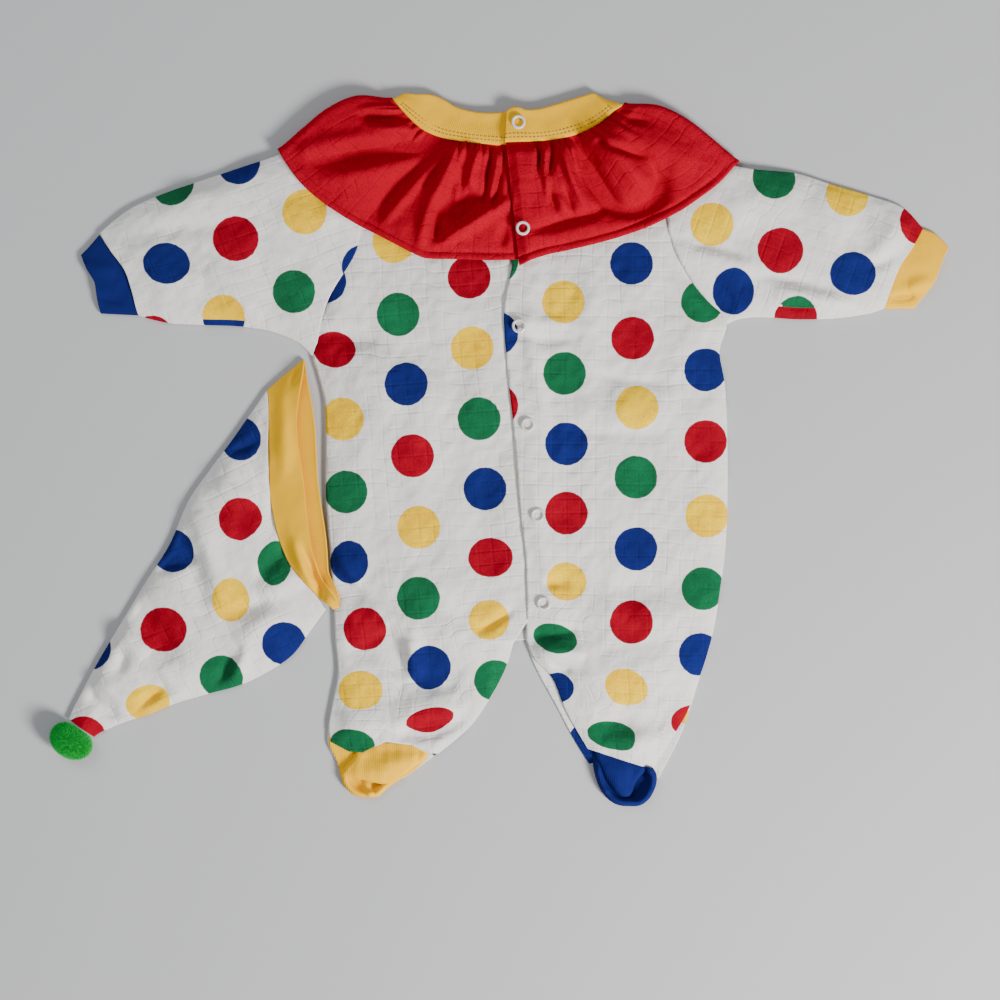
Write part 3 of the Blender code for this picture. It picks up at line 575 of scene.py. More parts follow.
PULLS_LEFT = (
    Pull(45.9, -93.1, 0, 2.4, 0.94, 0.88, -15), Pull(37.9, -132.5, -8, 13, 1.05, 0.66, -16),
    Pull(38.6, -167.5, -7.3, 28, 0.85, 0.7), Pull(91.1, -121.6, -3.3, -1.1),
    Pull(87.6, -166.6, -6.8, 3.9, 1.03, 0.82, -24), Pull(77.4, -200.2, -17, 20.3, 1.15, 0.62, -10),
    Pull(91.4, 128.6, -3, -0.9), Pull(92, 76.3, -2.4, -3.2), Pull(94.9, 28, 0.5, -1.5),
    Pull(141, 102.2, -1.9, -2.3), Pull(43.8, 101.5, -2.1, -3), Pull(44.5, 51.8, -1.4, -2.7),
    Pull(45.9, 3, 0, -1.8), Pull(143.9, -47.6, 1, -2), Pull(106, -220, -17, 16),
    Pull(141.3, -98.2, -1.6, -2.7), Pull(139, -146.8, -3.9, 1.3),
    Pull(133.8, -191, -9.1, 4.5, 1.0, 0.76),
)
PULLS_BACK = (
    Pull(16, -128, -20, 0), Pull(24, -152, -10, 0), Pull(-112, -214, 0, 22), Pull(114, -210, 28, 0),
)


x, y = body_grid(None, UNDER_EDGE, FRONT_COLUMNS)
leg_x, leg_y = leg_grid(LEG_RIGHT_FRONT, FRONT_COLUMNS)
leg_gap = np.minimum(leg_x - leg_x[:, :1], leg_x[:, -1:] - leg_x)
gap = np.concatenate([x - x[:, :1], leg_gap])
leg_y = leg_y + read(LEG_HEM, leg_x) * ease((HEM_TOP - leg_y) / 18)
x = np.concatenate([x, leg_x])
y = np.concatenate([y, leg_y])
points = np.stack([x, y, front_height(x, y, gap, 0.0)], -1)
front_right = shell("romper_front_right", points,
                    print_places(*pulled(x, y, PULLS_RIGHT), *PRINT_RIGHT),
                    dotted_finish, ["front_right"])

x, y = body_grid(PLACKET_EDGE, None, FRONT_COLUMNS)
lap = LAP_RISE * (1 - ease((x - x[:, :1] - LAP_WIDTH) / 12))
leg_x, leg_y = leg_grid(LEG_LEFT_FRONT, FRONT_COLUMNS)
leg_gap = np.minimum(leg_x - leg_x[:, :1], leg_x[:, -1:] - leg_x)
inner = ease((y + 134) / 40)
side_gap = x[:, -1:] - x
body_gap = np.where(y < -94, np.minimum(side_gap, (x - x[:, :1]) + 60 * inner), side_gap)
gap = np.concatenate([body_gap, leg_gap])
lap = np.concatenate([lap * (0.15 + 0.85 * inner), np.zeros_like(leg_x)])
x = np.concatenate([x, leg_x])
y = np.concatenate([y, leg_y])
points = np.stack([x, y, front_height(x, y, gap, lap)], -1)
front_left = shell("romper_front_left", points,
                   print_places(*pulled(x, y, PULLS_LEFT), *PRINT_LEFT),
                   dotted_finish, ["front_left"])

# The back's rows part at the crotch into one run of columns for each leg.
x, y = body_grid(None, None, BACK_COLUMNS)
crotch = ease((y - CROTCH_TOP) / -30.0)
column = np.arange(BACK_COLUMNS)
right_run = x[:, :1] + (CROTCH_RIGHT - x[:, :1]) * column / LEG_PARTING
left_share = column - LEG_PARTING - 1
left_run = CROTCH_LEFT + (x[:, -1:] - CROTCH_LEFT) * left_share / left_share[-1]
x = x + (np.where(column <= LEG_PARTING, right_run, left_run) - x) * crotch
right_x, right_y = leg_grid(LEG_RIGHT, LEG_PARTING + 1)
left_x, left_y = leg_grid(LEG_LEFT, BACK_COLUMNS - LEG_PARTING - 1)
x = np.concatenate([x, np.concatenate([right_x, left_x], 1)])
y = np.concatenate([y, np.concatenate([right_y, left_y], 1)])
kept = np.ones((x.shape[0] - 1, BACK_COLUMNS - 1), bool)
kept[BODY_ROWS - 1:, LEG_PARTING] = False
back_panel = shell("romper_back", np.stack([x, y, REST + collar_lift(x, y)], -1),
                   print_places(*pulled(x, y, PULLS_BACK), *PRINT_BACK),
                   dotted_finish, ["back_panel"], kept=kept)

# --------------------------------------------------------------------- sleeves
# Each sleeve is one piece folded along its top, sewn into the armhole and shut
# with a seam underneath, where the dots of the two edges don't meet.
FOLD = 0.8
TUBE_RELIEF = 2.0
SLEEVE_CREASES = (
    Crease(-252, 150, -215, 152, -176, 158, 6, -1.3), Crease(-262, 140, -236, 118, -206, 112, 12, 1.8),
    Crease(-232, 142, -214, 120, -196, 102, 8, -1.6), Crease(-205, 128, -186, 112, -172, 94, 8, 1.5),
    Crease(-176, 140, -160, 112, -150, 90, 10, -1.4), Crease(-150, 168, -136, 158, -108, 160, 8, 1.4),
    Crease(-140, 130, -124, 110, -120, 88, 8, 1.5), Crease(-240, 165, -205, 175, -176, 180, 9, 1.4),
    Crease(122, 146, 150, 142, 176, 130, 5, -1.8), Crease(130, 134, 160, 134, 190, 122, 9, 2.0),
    Crease(180, 122, 206, 116, 236, 108, 6, -1.8), Crease(190, 110, 214, 106, 250, 98, 7, 1.8),
    Crease(284, 160, 270, 146, 262, 130, 9, 1.8), Crease(274, 138, 268, 128, 252, 126, 5, -1.4),
    Crease(150, 172, 178, 166, 210, 168, 12, 1.2), Crease(150, 116, 160, 104, 158, 92, 5, -1.6),
    Crease(196, 99, 206, 97, 218, 98, 3.2, -1.6), Crease(236, 150, 250, 140, 262, 142, 9, -1.2),
)
TUBE_RUN = 74
TUBE_TURN = 5
SLEEVE_RINGS = 96
TUBE_EDGE = 10.0


def reflected(x, y, first, second):
    """Mirror image in plan across the line of a fold."""
    line = np.array(second, float) - np.array(first, float)
    line /= np.hypot(*line)
    dx, dy = x - first[0], y - first[1]
    along_line = dx * line[0] + dy * line[1]
    away = -dx * line[1] + dy * line[0]
    return (first[0] + along_line * line[0] + away * line[1],
            first[1] + along_line * line[1] - away * line[0])


def tube(table, towards, rows, creases, seed, under_bows=None, crumple=1.0):
    """Flattened tube: under run, upper fold, top run, lower fold, ring after ring."""
    knots = through([tuple(seam) for seam in table], np.linspace(0, 1, rows))
    parts = np.linspace(0, 1, TUBE_RUN)
    turn = np.linspace(0, 1, TUBE_TURN + 2)[1:-1]
    rings = []
    for index, row in enumerate(knots):
        seam = Seam(*row)
        span = math.dist((seam.low_x, seam.low_y), (seam.high_x, seam.high_y))
        inset = FOLD / span
        run = inset + parts * (1 - 2 * inset)
        over = seam_line(seam, run, towards)
        if under_bows is None:
            under = over
        else:
            lower = seam._replace(bow_low=under_bows[index, 0], bow_mid=under_bows[index, 1],
                                  bow_high=under_bows[index, 2])
            under = seam_line(lower, run, towards)
        low = REST + collar_lift(under[:, 0], under[:, 1])
        gap = np.minimum(run, 1 - run) * span
        x, y = over.T
        puff = seam.puff * (1 - np.exp(-gap / TUBE_EDGE))
        rough = (0.6 * wander(x, y, 42, seed) + 0.3 * wander(x, y, 14, seed + 1)) * crumple
        rise = puff + (rough + TUBE_RELIEF * crease_height(creases, x, y)) * ease(gap / TUBE_EDGE)
        high = REST + collar_lift(x, y) + 2 * FOLD + np.maximum(rise, 0)
        outward = np.array((seam.high_x - seam.low_x, seam.high_y - seam.low_y)) / span
        ring = [np.column_stack([under, low])]
        for end, way, share in ((-1, 1, turn), (0, -1, 1 - turn)):
            flat = under[end] + (over[end] - under[end]) * share[:, None]
            flat = flat + outward * way * FOLD * np.sin(np.pi * turn)[:, None]
            fall = low[end] + (high[end] - low[end]) * (1 - np.cos(np.pi * share)) / 2
            ring.append(np.column_stack([flat, fall]))
            if way == 1:
                ring.append(np.column_stack([over, high])[::-1])
        rings.append(np.concatenate(ring))
    return np.array(rings)


def tube_print(points, origin, down, first, second, pulls, under_roll=None):
    """Cloth places of a tube: the print carries on round its upper fold. Where its lower edge
    rolls under, between two places and over a few columns, the next dots come round with it."""
    x, y = points[..., 0].copy(), points[..., 1].copy()
    under = np.s_[:, :TUBE_RUN]
    x[under], y[under] = reflected(x[under], y[under], first, second)
    places = print_places(*pulled(x, y, pulls), origin, down)
    if under_roll:
        left, right, columns = under_roll
        rolled = x[:, -columns:]
        places[:, -columns:, 1] += 2 * DOT_STEP * ((rolled > left) & (rolled < right))
    return places


ARMHOLE_TUCK = 1.2
PULLS_SLEEVE_RIGHT = (
    Pull(-182.7, 200, -5.3, -1.4), Pull(-229.6, 185.5, -4.4, 0.3), Pull(-268, 178, -4.2, 6),
    Pull(-136.3, 164.3, 1.6, 2.3, 1.03, 1.04), Pull(-144.2, 109.2, 1.6, 1.0),
    Pull(-95.6, 127, 2.7, 2.4), Pull(-243, 78, -3, 2.5), Pull(-234.5, 129.3, 0, -1, 1.08, 0.95, -8),
    Pull(-185.2, 146, 0.8, 0, 1.06, 1.05),
)
PULLS_SLEEVE_LEFT = (
    Pull(191.3, 189.5, 3.2, -5.3), Pull(242.9, 177.6, 7, -1.1), Pull(294.7, 158, 10.8, -4.5),
    Pull(246.8, 122.3, 2.5, -2, 1.08, 1.0), Pull(196, 138.6, -0.9, -1.8, 1.06, 1.05),
    Pull(163.5, 108.5, 6, 8, 0.96, 1.08), Pull(207, 89.5, 2.4, 5.3), Pull(147.4, 156.8, -1, 0.5),
)
points = tube(SLEEVE_RIGHT, 1, SLEEVE_RINGS, SLEEVE_CREASES, 11)
points[0, TUBE_RUN:, 0] += ARMHOLE_TUCK
sleeve_right = shell("romper_sleeve_right", points,
                     tube_print(points, (-185.2, 145.6), (0.945, 0.327), (-150, 206), (-280, 152),
                                PULLS_SLEEVE_RIGHT, (-216, -168, 8)),
                     dotted_finish, ["sleeve_right"], closed=True)
points = tube(SLEEVE_LEFT, -1, SLEEVE_RINGS, SLEEVE_CREASES, 17)
points[0, TUBE_RUN:, 0] -= ARMHOLE_TUCK
sleeve_left = shell("romper_sleeve_left", points,
                    tube_print(points, (195.7, 139.3), (-0.947, 0.32), (174, 195), (281, 167),
                               PULLS_SLEEVE_LEFT, (183, 231, 11)),
                    dotted_finish, ["sleeve_left"], closed=True)

# ----------------------------------------------------------------------- cuffs
# Fine rib, folded double and stretched a little as it is sewn on: blue on the
# right sleeve, yellow on the left. Its ribs run along the arm.
YELLOW = (1.0, 0.52, 0.006)
BLUE = (0.007, 0.013, 0.115)
YELLOW_DARK = (0.62, 0.30, 0.02)
BLUE_DARK = (0.0, 0.008, 0.08)
RIB_STEP = 1.3
CUFF_RINGS = 34
CUFF_RIGHT = (
    Seam(-253.0, 93.2, -280.2, 148.5, 3, 5, 2, 2.2), Seam(-266, 93.8, -288, 139.5, 3, 5, 2, 3.0),
    Seam(-279.5, 94.5, -293, 134.5, 1, 3, 1, 2.6),
)
CUFF_LEFT = (
    Seam(268.2, 98.0, 294.8, 152.8, 2, 3, 1, 2.2), Seam(279, 98, 304, 149, 1, 2, 1, 3.0),
    Seam(289, 98, 313, 140, -2, -3, -1, 2.6),
)
CUFF_CREASES = (
    Crease(-292, 132, -280, 122, -268, 124, 5, 1.0), Crease(-284, 106, -272, 104, -262, 100, 4, -0.9),
    Crease(289, 108, 284, 104, 272, 104, 3.4, -1.6), Crease(300, 118, 292, 112, 284, 112, 5, 1.2),
)


def rib_line(across):
    """How far a place lies from the middle of its rib, from 0 to 0.5."""
    return ((across / RIB_STEP).math("FRACT") - 0.5).math("ABSOLUTE")


def rib_finish(name, colour, dark):
    """Matt rib or jersey with fine lines along the cloth's second direction."""
    def tint(place, across, along):
        fuzz = place.noise(1100.0).smooth(0.25, 0.75)
        cloud = place.noise(24.0, 3.0).smooth(0.3, 0.7)
        base = cloud.mix(shaded(colour, 0.93), colour)
        base = (fuzz * 0.35).mix(base, shaded(colour, 1.18))
        return (rib_line(across).smooth(0.12, 0.42) * 0.16).mix(base, dark)

    def relief(place, across, along):
        line = rib_line(across).smooth(0.0, 0.5)
        return line * -0.00010 + place.noise(1300.0) * 0.00012 + place.noise(60.0, 3.0) * 0.0009

    return cloth_finish(name, tint, relief, 0.9)


yellow_finish = rib_finish("yellow_rib", YELLOW, YELLOW_DARK)
blue_finish = rib_finish("blue_rib", BLUE, BLUE_DARK)


def steps_along(points, axis):
    """Distance walked over a grid of points in one of its directions."""
    first = points[:1] if axis == 0 else points[:, :1]
    return np.cumsum(np.linalg.norm(np.diff(points, axis=axis, prepend=first), axis=2), axis)


def ring_places(points):
    """Cloth places of a tube: round it, and along it, in millimetres."""
    around = steps_along(points, 1)
    return np.stack([np.broadcast_to(around[:1], around.shape), steps_along(points, 0)], -1)


points = tube(CUFF_RIGHT, 1, CUFF_RINGS, CUFF_CREASES, 23, crumple=0.5)
cuff_right = shell("cuff_right_rib", points, ring_places(points), blue_finish,
                   ["cuff_right"], closed=True)
points = tube(CUFF_LEFT, -1, CUFF_RINGS, CUFF_CREASES, 29, crumple=0.5)
cuff_left = shell("cuff_left_rib", points, ring_places(points), yellow_finish,
                  ["cuff_left"], closed=True)

# -------------------------------------------------------------------- neckband
# A yellow rib strip folded double, sewn round the neck and topstitched with two
# rows. It turns over at both shoulders and laps at the front under a snap.
Strip = namedtuple("Strip", "lower_x lower_y upper_x upper_y height")
BACK_Z = 2.95
FRONT_Z = 4.6
BAND_TILT = 3.1
BAND_ROUND = 0.7
BAND_TURN = 5
BAND = (
    Strip(15, 212.6, 15, 235.5, FRONT_Z), Strip(3, 210.6, 4, 234.4, FRONT_Z),
    Strip(-12, 211.8, -9, 233.8, FRONT_Z), Strip(-27, 213.6, -21, 235, FRONT_Z),
    Strip(-42, 216.4, -32, 238.5, FRONT_Z), Strip(-54, 221.6, -40, 243.3, FRONT_Z),
    Strip(-63, 229.2, -48, 246.4, FRONT_Z), Strip(-70.5, 237.5, -58, 246.6, FRONT_Z),
)
BAND_BACK = (
    Strip(-68, 236, -58, 245, BACK_Z), Strip(-50, 222, -42, 240, BACK_Z),
    Strip(-25, 216, -20, 233, BACK_Z), Strip(5, 214, 5, 232, BACK_Z), Strip(32, 216, 28, 233, BACK_Z),
    Strip(56, 222, 47, 239, BACK_Z), Strip(78, 234, 70, 242.3, BACK_Z),
)
BAND_LEFT = (
    Strip(79, 234.5, 64.5, 247.6, FRONT_Z), Strip(67, 225.0, 54, 244.6, FRONT_Z),
    Strip(52, 218.0, 39, 240.0, FRONT_Z), Strip(36, 214.6, 27, 236.6, FRONT_Z + 0.6),
    Strip(23, 213.2, 18, 235.6, FRONT_Z + 2.6), Strip(14, 212.8, 13.5, 237.2, FRONT_Z + 3.0),
    Strip(8, 212.6, 8.5, 237.4, FRONT_Z + 3.0), Strip(3, 212.4, 4.5, 235.2, FRONT_Z + 3.0),
)
BAND_FOLD_RIGHT = ((-75, 243), (-66, 247.5))
BAND_FOLD_LEFT = ((85, 239), (74, 242.6))
BAND_CELLS = 18
STITCH_LIFT = 0.62
STITCH_ROWS = (0.13, 0.24)
OCHRE = (0.42, 0.20, 0.03)


def strip_lines(table, count):
    """Lines across a strip, tilted where it lies at the front."""
    x, y = side_grid([strip[:4] for strip in table], count, BAND_CELLS + 1)
    level = through([strip.height for strip in table], np.linspace(0, 1, count))
    parts = np.linspace(0, 1, BAND_CELLS + 1)
    over = ease((level - BACK_Z) / (FRONT_Z - BACK_Z))
    tilt = BAND_TILT * over * (1 - ease(parts / 0.8))
    return np.stack([x, y, level + BAND_ROUND * np.sin(np.pi * parts) ** 0.6 + tilt], -1)


def turned(plan, outward, start_z, end_z, steps):
    """Lines round a folded edge, from the height start_z to the height end_z."""
    outward = np.array(outward) / np.hypot(*outward)
    start_z, end_z = np.asarray(start_z, float), np.asarray(end_z, float)
    lines = []
    for angle in np.linspace(0, math.pi, steps + 2)[1:-1]:
        radius = np.abs(end_z - start_z)[..., None] / 2
        flat = plan + outward * radius * (math.sin(angle) - 1)
        high = (start_z + end_z) / 2 - (end_z - start_z) / 2 * math.cos(angle)
        lines.append(np.column_stack([flat, np.broadcast_to(high, len(plan))]))
    return np.array(lines)


def straight(first, second):
    """Points of a fold straight across the neckband."""
    parts = np.linspace(0, 1, BAND_CELLS + 1)[:, None]
    return np.array(first, float) + (np.array(second, float) - np.array(first, float)) * parts


def long_places(points):
    """Cloth places of a strip: along it, and across it, in millimetres."""
    along_strip = steps_along(points, 0)
    return np.stack([np.broadcast_to(along_strip.mean(1, keepdims=True), along_strip.shape),
                     steps_along(points, 1)], -1)


band_front_right = strip_lines(BAND, 70)
band_front_left = strip_lines(BAND_LEFT, 80)
band_back = strip_lines(BAND_BACK, 90)
points = np.concatenate([
    band_front_right,
    turned(straight(*BAND_FOLD_RIGHT), (-0.6, 0.8),
           band_front_right[-1, :, 2], band_back[0, :, 2], BAND_TURN),
    band_back,
    turned(straight(*BAND_FOLD_LEFT), (0.6, 0.8),
           band_back[-1, :, 2], band_front_left[0, :, 2], BAND_TURN),
    band_front_left,
])
points[..., 2] += 0.25 * wander(points[..., 0], points[..., 1], 22, 31)
neckband = shell("neckband_rib", points, long_places(points), yellow_finish, ["neckband"])


def grow_tree(name, sizes, paint, nodes, links):
    """A Geometry Nodes tree with named inputs, whose last nodes make instances real and paint them."""
    tree = bpy.data.node_groups.new(name, "GeometryNodeTree")
    face = tree.interface
    face.new_socket("Geometry", in_out="INPUT", socket_type="NodeSocketGeometry")
    for label in sizes:
        face.new_socket(label, in_out="INPUT", socket_type="NodeSocketFloat")
    face.new_socket(paint, in_out="INPUT", socket_type="NodeSocketMaterial")
    face.new_socket("Geometry", in_out="OUTPUT", socket_type="NodeSocketGeometry")
    made = {}
    for key, kind, *settings in (*nodes, ("enter", "NodeGroupInput"), ("leave", "NodeGroupOutput"),
                                 ("real", "GeometryNodeRealizeInstances"),
                                 ("paint", "GeometryNodeSetMaterial")):
        made[key] = tree.nodes.new(kind)
        for setting in settings:
            setattr(made[key], *setting)
    for start, output, end, entry in (*links, ("enter", paint, "paint", "Material"),
                                      ("paint", "Geometry", "leave", "Geometry")):
        tree.links.new(made[start].outputs[output], made[end].inputs[entry])
    return tree, made


# Threads of a set length and thickness, evenly along a line.
stitch_nodes, made = grow_tree(
    "stitches", ("Spacing", "Stitch Length", "Thread Radius"), "Thread",
    (("curve", "GeometryNodeMeshToCurve"), ("points", "GeometryNodeCurveToPoints", ("mode", "LENGTH")),
     ("bead", "GeometryNodeMeshUVSphere"), ("size", "ShaderNodeCombineXYZ"),
     ("place", "GeometryNodeInstanceOnPoints"), ("smooth", "GeometryNodeSetShadeSmooth")),
    (("enter", "Geometry", "curve", "Mesh"), ("curve", "Curve", "points", "Curve"),
     ("enter", "Spacing", "points", "Length"), ("enter", "Thread Radius", "size", "X"),
     ("enter", "Thread Radius", "size", "Y"), ("enter", "Stitch Length", "size", "Z"),
     ("points", "Points", "place", "Points"), ("bead", "Mesh", "place", "Instance"),
     ("points", "Rotation", "place", "Rotation"), ("size", "Vector", "place", "Scale"),
     ("place", "Instances", "real", "Geometry"), ("real", "Geometry", "smooth", "Geometry"),
     ("smooth", "Geometry", "paint", "Geometry")))
made["bead"].inputs["Segments"].default_value = 6
made["bead"].inputs["Rings"].default_value = 5
made["bead"].inputs["Radius"].default_value = 1.0


def grown(name, source, tree, values):
    """Plain mesh of a Geometry Nodes tree on a source mesh, riding with the set."""
    made = placed(name, source)
    modifier = made.modifiers.new("grow", "NODES")
    modifier.node_group = tree
    for item in tree.interface.items_tree:
        if item.item_type == "SOCKET" and item.in_out == "INPUT" and item.name in values:
            modifier[item.identifier] = values[item.name]
    bpy.context.view_layer.update()
    view = made.evaluated_get(bpy.context.evaluated_depsgraph_get())
    mesh = bpy.data.meshes.new_from_object(view)
    made.modifiers.clear()
    made.data = mesh
    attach(made, "root")
    return made


def stitches(name, lines, thread, spacing=2.7, length=1.05, radius=0.42):
    """Rows of stitches along lines of points in millimetres."""
    verts, edges = [], []
    for line in lines:
        first = len(verts)
        verts += [tuple(point) for point in np.asarray(line) * MM]
        edges += [(first + step, first + step + 1) for step in range(len(line) - 1)]
    source = bpy.data.meshes.new(name)
    source.from_pydata(verts, edges, [])
    return grown(name, source, stitch_nodes,
                 {"Spacing": spacing * MM, "Stitch Length": length * MM, "Thread Radius": radius * MM,
                  "Thread": thread})


def thread_finish(name, colour):
    """Twisted sewing thread."""
    made, shader, place = new_finish(name, 0.7)
    twist = place.noise(2200.0).smooth(0.3, 0.7)
    twist.mix(shaded(colour, 0.75), colour).feed(shader, "Base Color")
    return made


def on_strip(lines, share):
    """Line along a strip at a share of its height, lying on its upper face."""
    column = share * (lines.shape[1] - 1)
    low = int(column)
    line = blend(lines[:, low], lines[:, min(low + 1, lines.shape[1] - 1)], column - low)
    return line + np.array((0, 0, STITCH_LIFT))


ochre_thread = thread_finish("ochre_thread", OCHRE)
rows_of_stitches = [on_strip(lines, share)
                    for lines in (band_front_right[8:], band_front_left[:-3]) for share in STITCH_ROWS]
neck_stitches = stitches("neckband_stitches", rows_of_stitches, ochre_thread)

# ---------------------------------------------------------------------- collar
# The collar is one long strip of the same quilted knit in plain red, gathered
# tightly into the neck seam and hemmed. It turns over at both shoulders, and at
# the front its left half laps over the right one under a snap.
Gather = namedtuple("Gather", "neck_x neck_y hem_x hem_y height bow")
RED = (0.39, 0.0, 0.012)
RED_BRIGHT = (0.48, 0.0, 0.022)
RED_THREAD = (0.42, 0.004, 0.016)
RED_LINE = (0.26, 0.0, 0.006)
FOLD_BOW = (0, 11, 11.5, 6, 0)
COLLAR_RIGHT = (
    Gather(14, 211.5, 23, 131.5, 8.2, 0), Gather(4, 211, 12, 131, 8.3, 0),
    Gather(-1, 211.5, 3, 130.5, 8.6, 0), Gather(-7, 212, -10, 130.3, 9.4, 0),
    Gather(-13, 212.6, -24, 130.8, 10.0, 0), Gather(-19, 213.2, -36, 131, 10.4, 0),
    Gather(-26, 214.2, -52, 131.6, 10.8, 0), Gather(-33, 215.2, -62, 135.6, 10.8, 0),
    Gather(-40, 217, -75, 142.3, 10.8, 0), Gather(-46, 219, -88, 149.2, 10.6, 0),
    Gather(-51, 221.5, -103, 157, 10.2, 0), Gather(-56.5, 225.2, -121, 168.6, 10.0, 0),
    Gather(-60.5, 228.5, -136, 181, 9.8, 0.15), Gather(-66, 233, -145.5, 192.4, 10.0, 0.5),
    Gather(-71.5, 237.5, -153, 203.5, 10.0, 1),
)
COLLAR_BACK = (
    Gather(-71, 236, -153, 202, 0.75, 1), Gather(-60, 225.5, -120, 167, 0.75, 0.2),
    Gather(-42, 217, -86, 146, 0.75, 0), Gather(-20, 213.5, -45, 133, 0.75, 0),
    Gather(5, 212, 5, 128, 0.75, 0), Gather(30, 213.5, 50, 133, 0.75, 0),
    Gather(52, 218, 92, 146, 0.75, 0), Gather(70, 227, 132, 168, 0.75, 0.2),
    Gather(81, 234, 163.5, 196.5, 0.75, 0.8),
)
COLLAR_LEFT = (
    Gather(82.5, 235.5, 163, 196, 10.0, 0.8), Gather(77.5, 231.2, 152, 184, 10.0, 0.4),
    Gather(72, 227, 139, 174, 10.0, 0.1), Gather(65.5, 223, 124, 164, 10.2, 0),
    Gather(58.5, 220, 104, 154, 10.6, 0), Gather(51, 217.5, 85, 147, 10.8, 0),
    Gather(44, 215.2, 70, 142.6, 11.0, 0), Gather(38, 214, 58, 139.6, 11.2, 0),
    Gather(31, 213.2, 45, 136.6, 11.2, 0), Gather(23, 212.9, 33, 134, 12.0, 0),
    Gather(13, 212.6, 22, 130.5, 12.8, 0), Gather(8, 212.4, 17, 128.2, 13.0, 0),
    Gather(3.6, 212.2, 13, 126.5, 13.0, 0),
)
COLLAR_FOLD_RIGHT = Gather(-76, 243, -155.5, 208, 0, 1)
COLLAR_FOLD_LEFT = Gather(86.5, 239.5, 166.5, 200, 0, 0.8)
COLLAR_CREASES = (
    Crease(-36, 217, -70, 206, -138, 200, 8.0, -7.2),
    Crease(-50, 211, -86, 203, -126, 199.5, 4.0, -3.0), Crease(-70, 216, -104, 210, -146, 203, 8, 3.0),
    Crease(-58, 205, -94, 190, -128, 184, 9, 2.4), Crease(-30, 213, -58, 190, -98, 152, 11, -4.6),
    Crease(-36, 207, -62, 182, -82, 156, 4.5, 4.2), Crease(-26, 212, -46, 180, -58, 136, 5.0, 4.4),
    Crease(-20, 190, -30, 168, -36, 154, 11, -5.2), Crease(-44, 176, -46, 158, -42, 142, 6.5, -4.2),
    Crease(-30, 184, -30, 176, -31, 170, 3.4, 2.6), Crease(-20, 190, -19, 184, -20, 178, 3.2, 2.4),
    Crease(8, 173, -18, 156, -44, 141, 4.2, 4.6), Crease(-6, 178, -22, 164, -34, 158, 5.0, -2.6),
    Crease(4, 156, 1, 148, 2, 140, 3.4, -2.8), Crease(-14, 210, -20, 190, -28, 170, 3.0, 2.8),
    Crease(-6, 210, -8, 188, -12, 164, 2.6, -3.0), Crease(3, 208, 0, 188, -6, 162, 2.6, -2.6),
    Crease(-1, 206, -3, 188, -9, 170, 2.6, 2.6), Crease(-96, 231, -80, 226, -66, 231, 3.8, -4.8),
    Crease(-100, 237, -80, 236, -64, 238, 4.5, 2.0), Crease(-92, 224, -76, 219, -58, 222, 4.0, 2.2),
    Crease(-50, 222, -62, 212, -78, 206, 2.6, 1.8), Crease(27, 213, 27.5, 200, 26, 190, 2.2, -3.6),
    Crease(31, 212, 31, 192, 33, 172, 2.4, 2.6), Crease(37, 213, 36, 198, 32, 188, 3.0, -4.0),
    Crease(42, 212, 46, 190, 58, 168, 2.8, 3.2), Crease(52, 218, 62, 186, 80, 165, 7.0, -6.4),
    Crease(58, 200, 66, 178, 86, 164, 6.0, -4.4), Crease(74, 168, 110, 156, 114, 192, 7.0, -6.0),
    Crease(104, 176, 114, 184, 104, 199, 4.0, -2.4), Crease(60, 217, 84, 202, 99, 180, 9.0, 7.6),
    Crease(64, 213, 80, 204, 104, 202, 3.4, -3.2), Crease(72, 220, 100, 214, 140, 196, 11, 2.6),
    Crease(20, 151, 44, 156, 76, 166, 4.2, -3.2), Crease(18, 143, 50, 147, 92, 158, 6, 1.2),
    Crease(33, 180, 36, 172, 39, 163, 2.6, -2.0), Crease(44, 181, 48, 172, 51, 162, 2.6, -2.0),
    Crease(38, 176, 42, 170, 45, 164, 2.8, 1.6), Crease(80, 235, 90, 240, 104, 240, 3.0, -2.6),
    Crease(84, 229, 92, 226, 102, 227, 3.2, -2.2), Crease(46, 215, 51, 202, 56, 188, 2.6, 2.4),
    Crease(66, 219, 70, 213, 73, 208, 2.4, -2.8),
)
COLLAR_CELLS = 64
COLLAR_ROWS = 210
COLLAR_TURN = 7
COLLAR_DROP = 80.0
NECK_DROP = 3.9
HEM_DROP = 1.2
HEM_GROOVE = 1.9
LEAST_COLLAR_Z = 6.3
SLEEVE_CROWN = 2.8
ARMHOLE_AWAY = 98
PLACKET_X = 14
LAP_SMOOTH = 24
HEM = 5.0
COLLAR_RELIEF = 1.75
NECK_TUCK = 1.3
COLLAR_RAISE = 3.4


def gather_lines(table, count):
    """Plan and level of the collar, each row a line from the neck to the hem."""
    rows = through([tuple(row) for row in table], np.linspace(0, 1, count))
    return np.array([gather_line(Gather(*row)) for row in rows])


def gather_line(row):
    parts = np.linspace(0, 1, COLLAR_CELLS + 1)
    across, down = row.hem_x - row.neck_x, row.hem_y - row.neck_y
    swing = through(FOLD_BOW, parts)[:, 0] * row.bow / math.hypot(across, down)
    x = row.neck_x + across * parts + math.copysign(abs(down), across) * swing
    y = row.neck_y + NECK_TUCK + (down - NECK_TUCK) * parts + abs(across) * swing
    return np.stack([x, y, np.full_like(x, row.height)], -1)


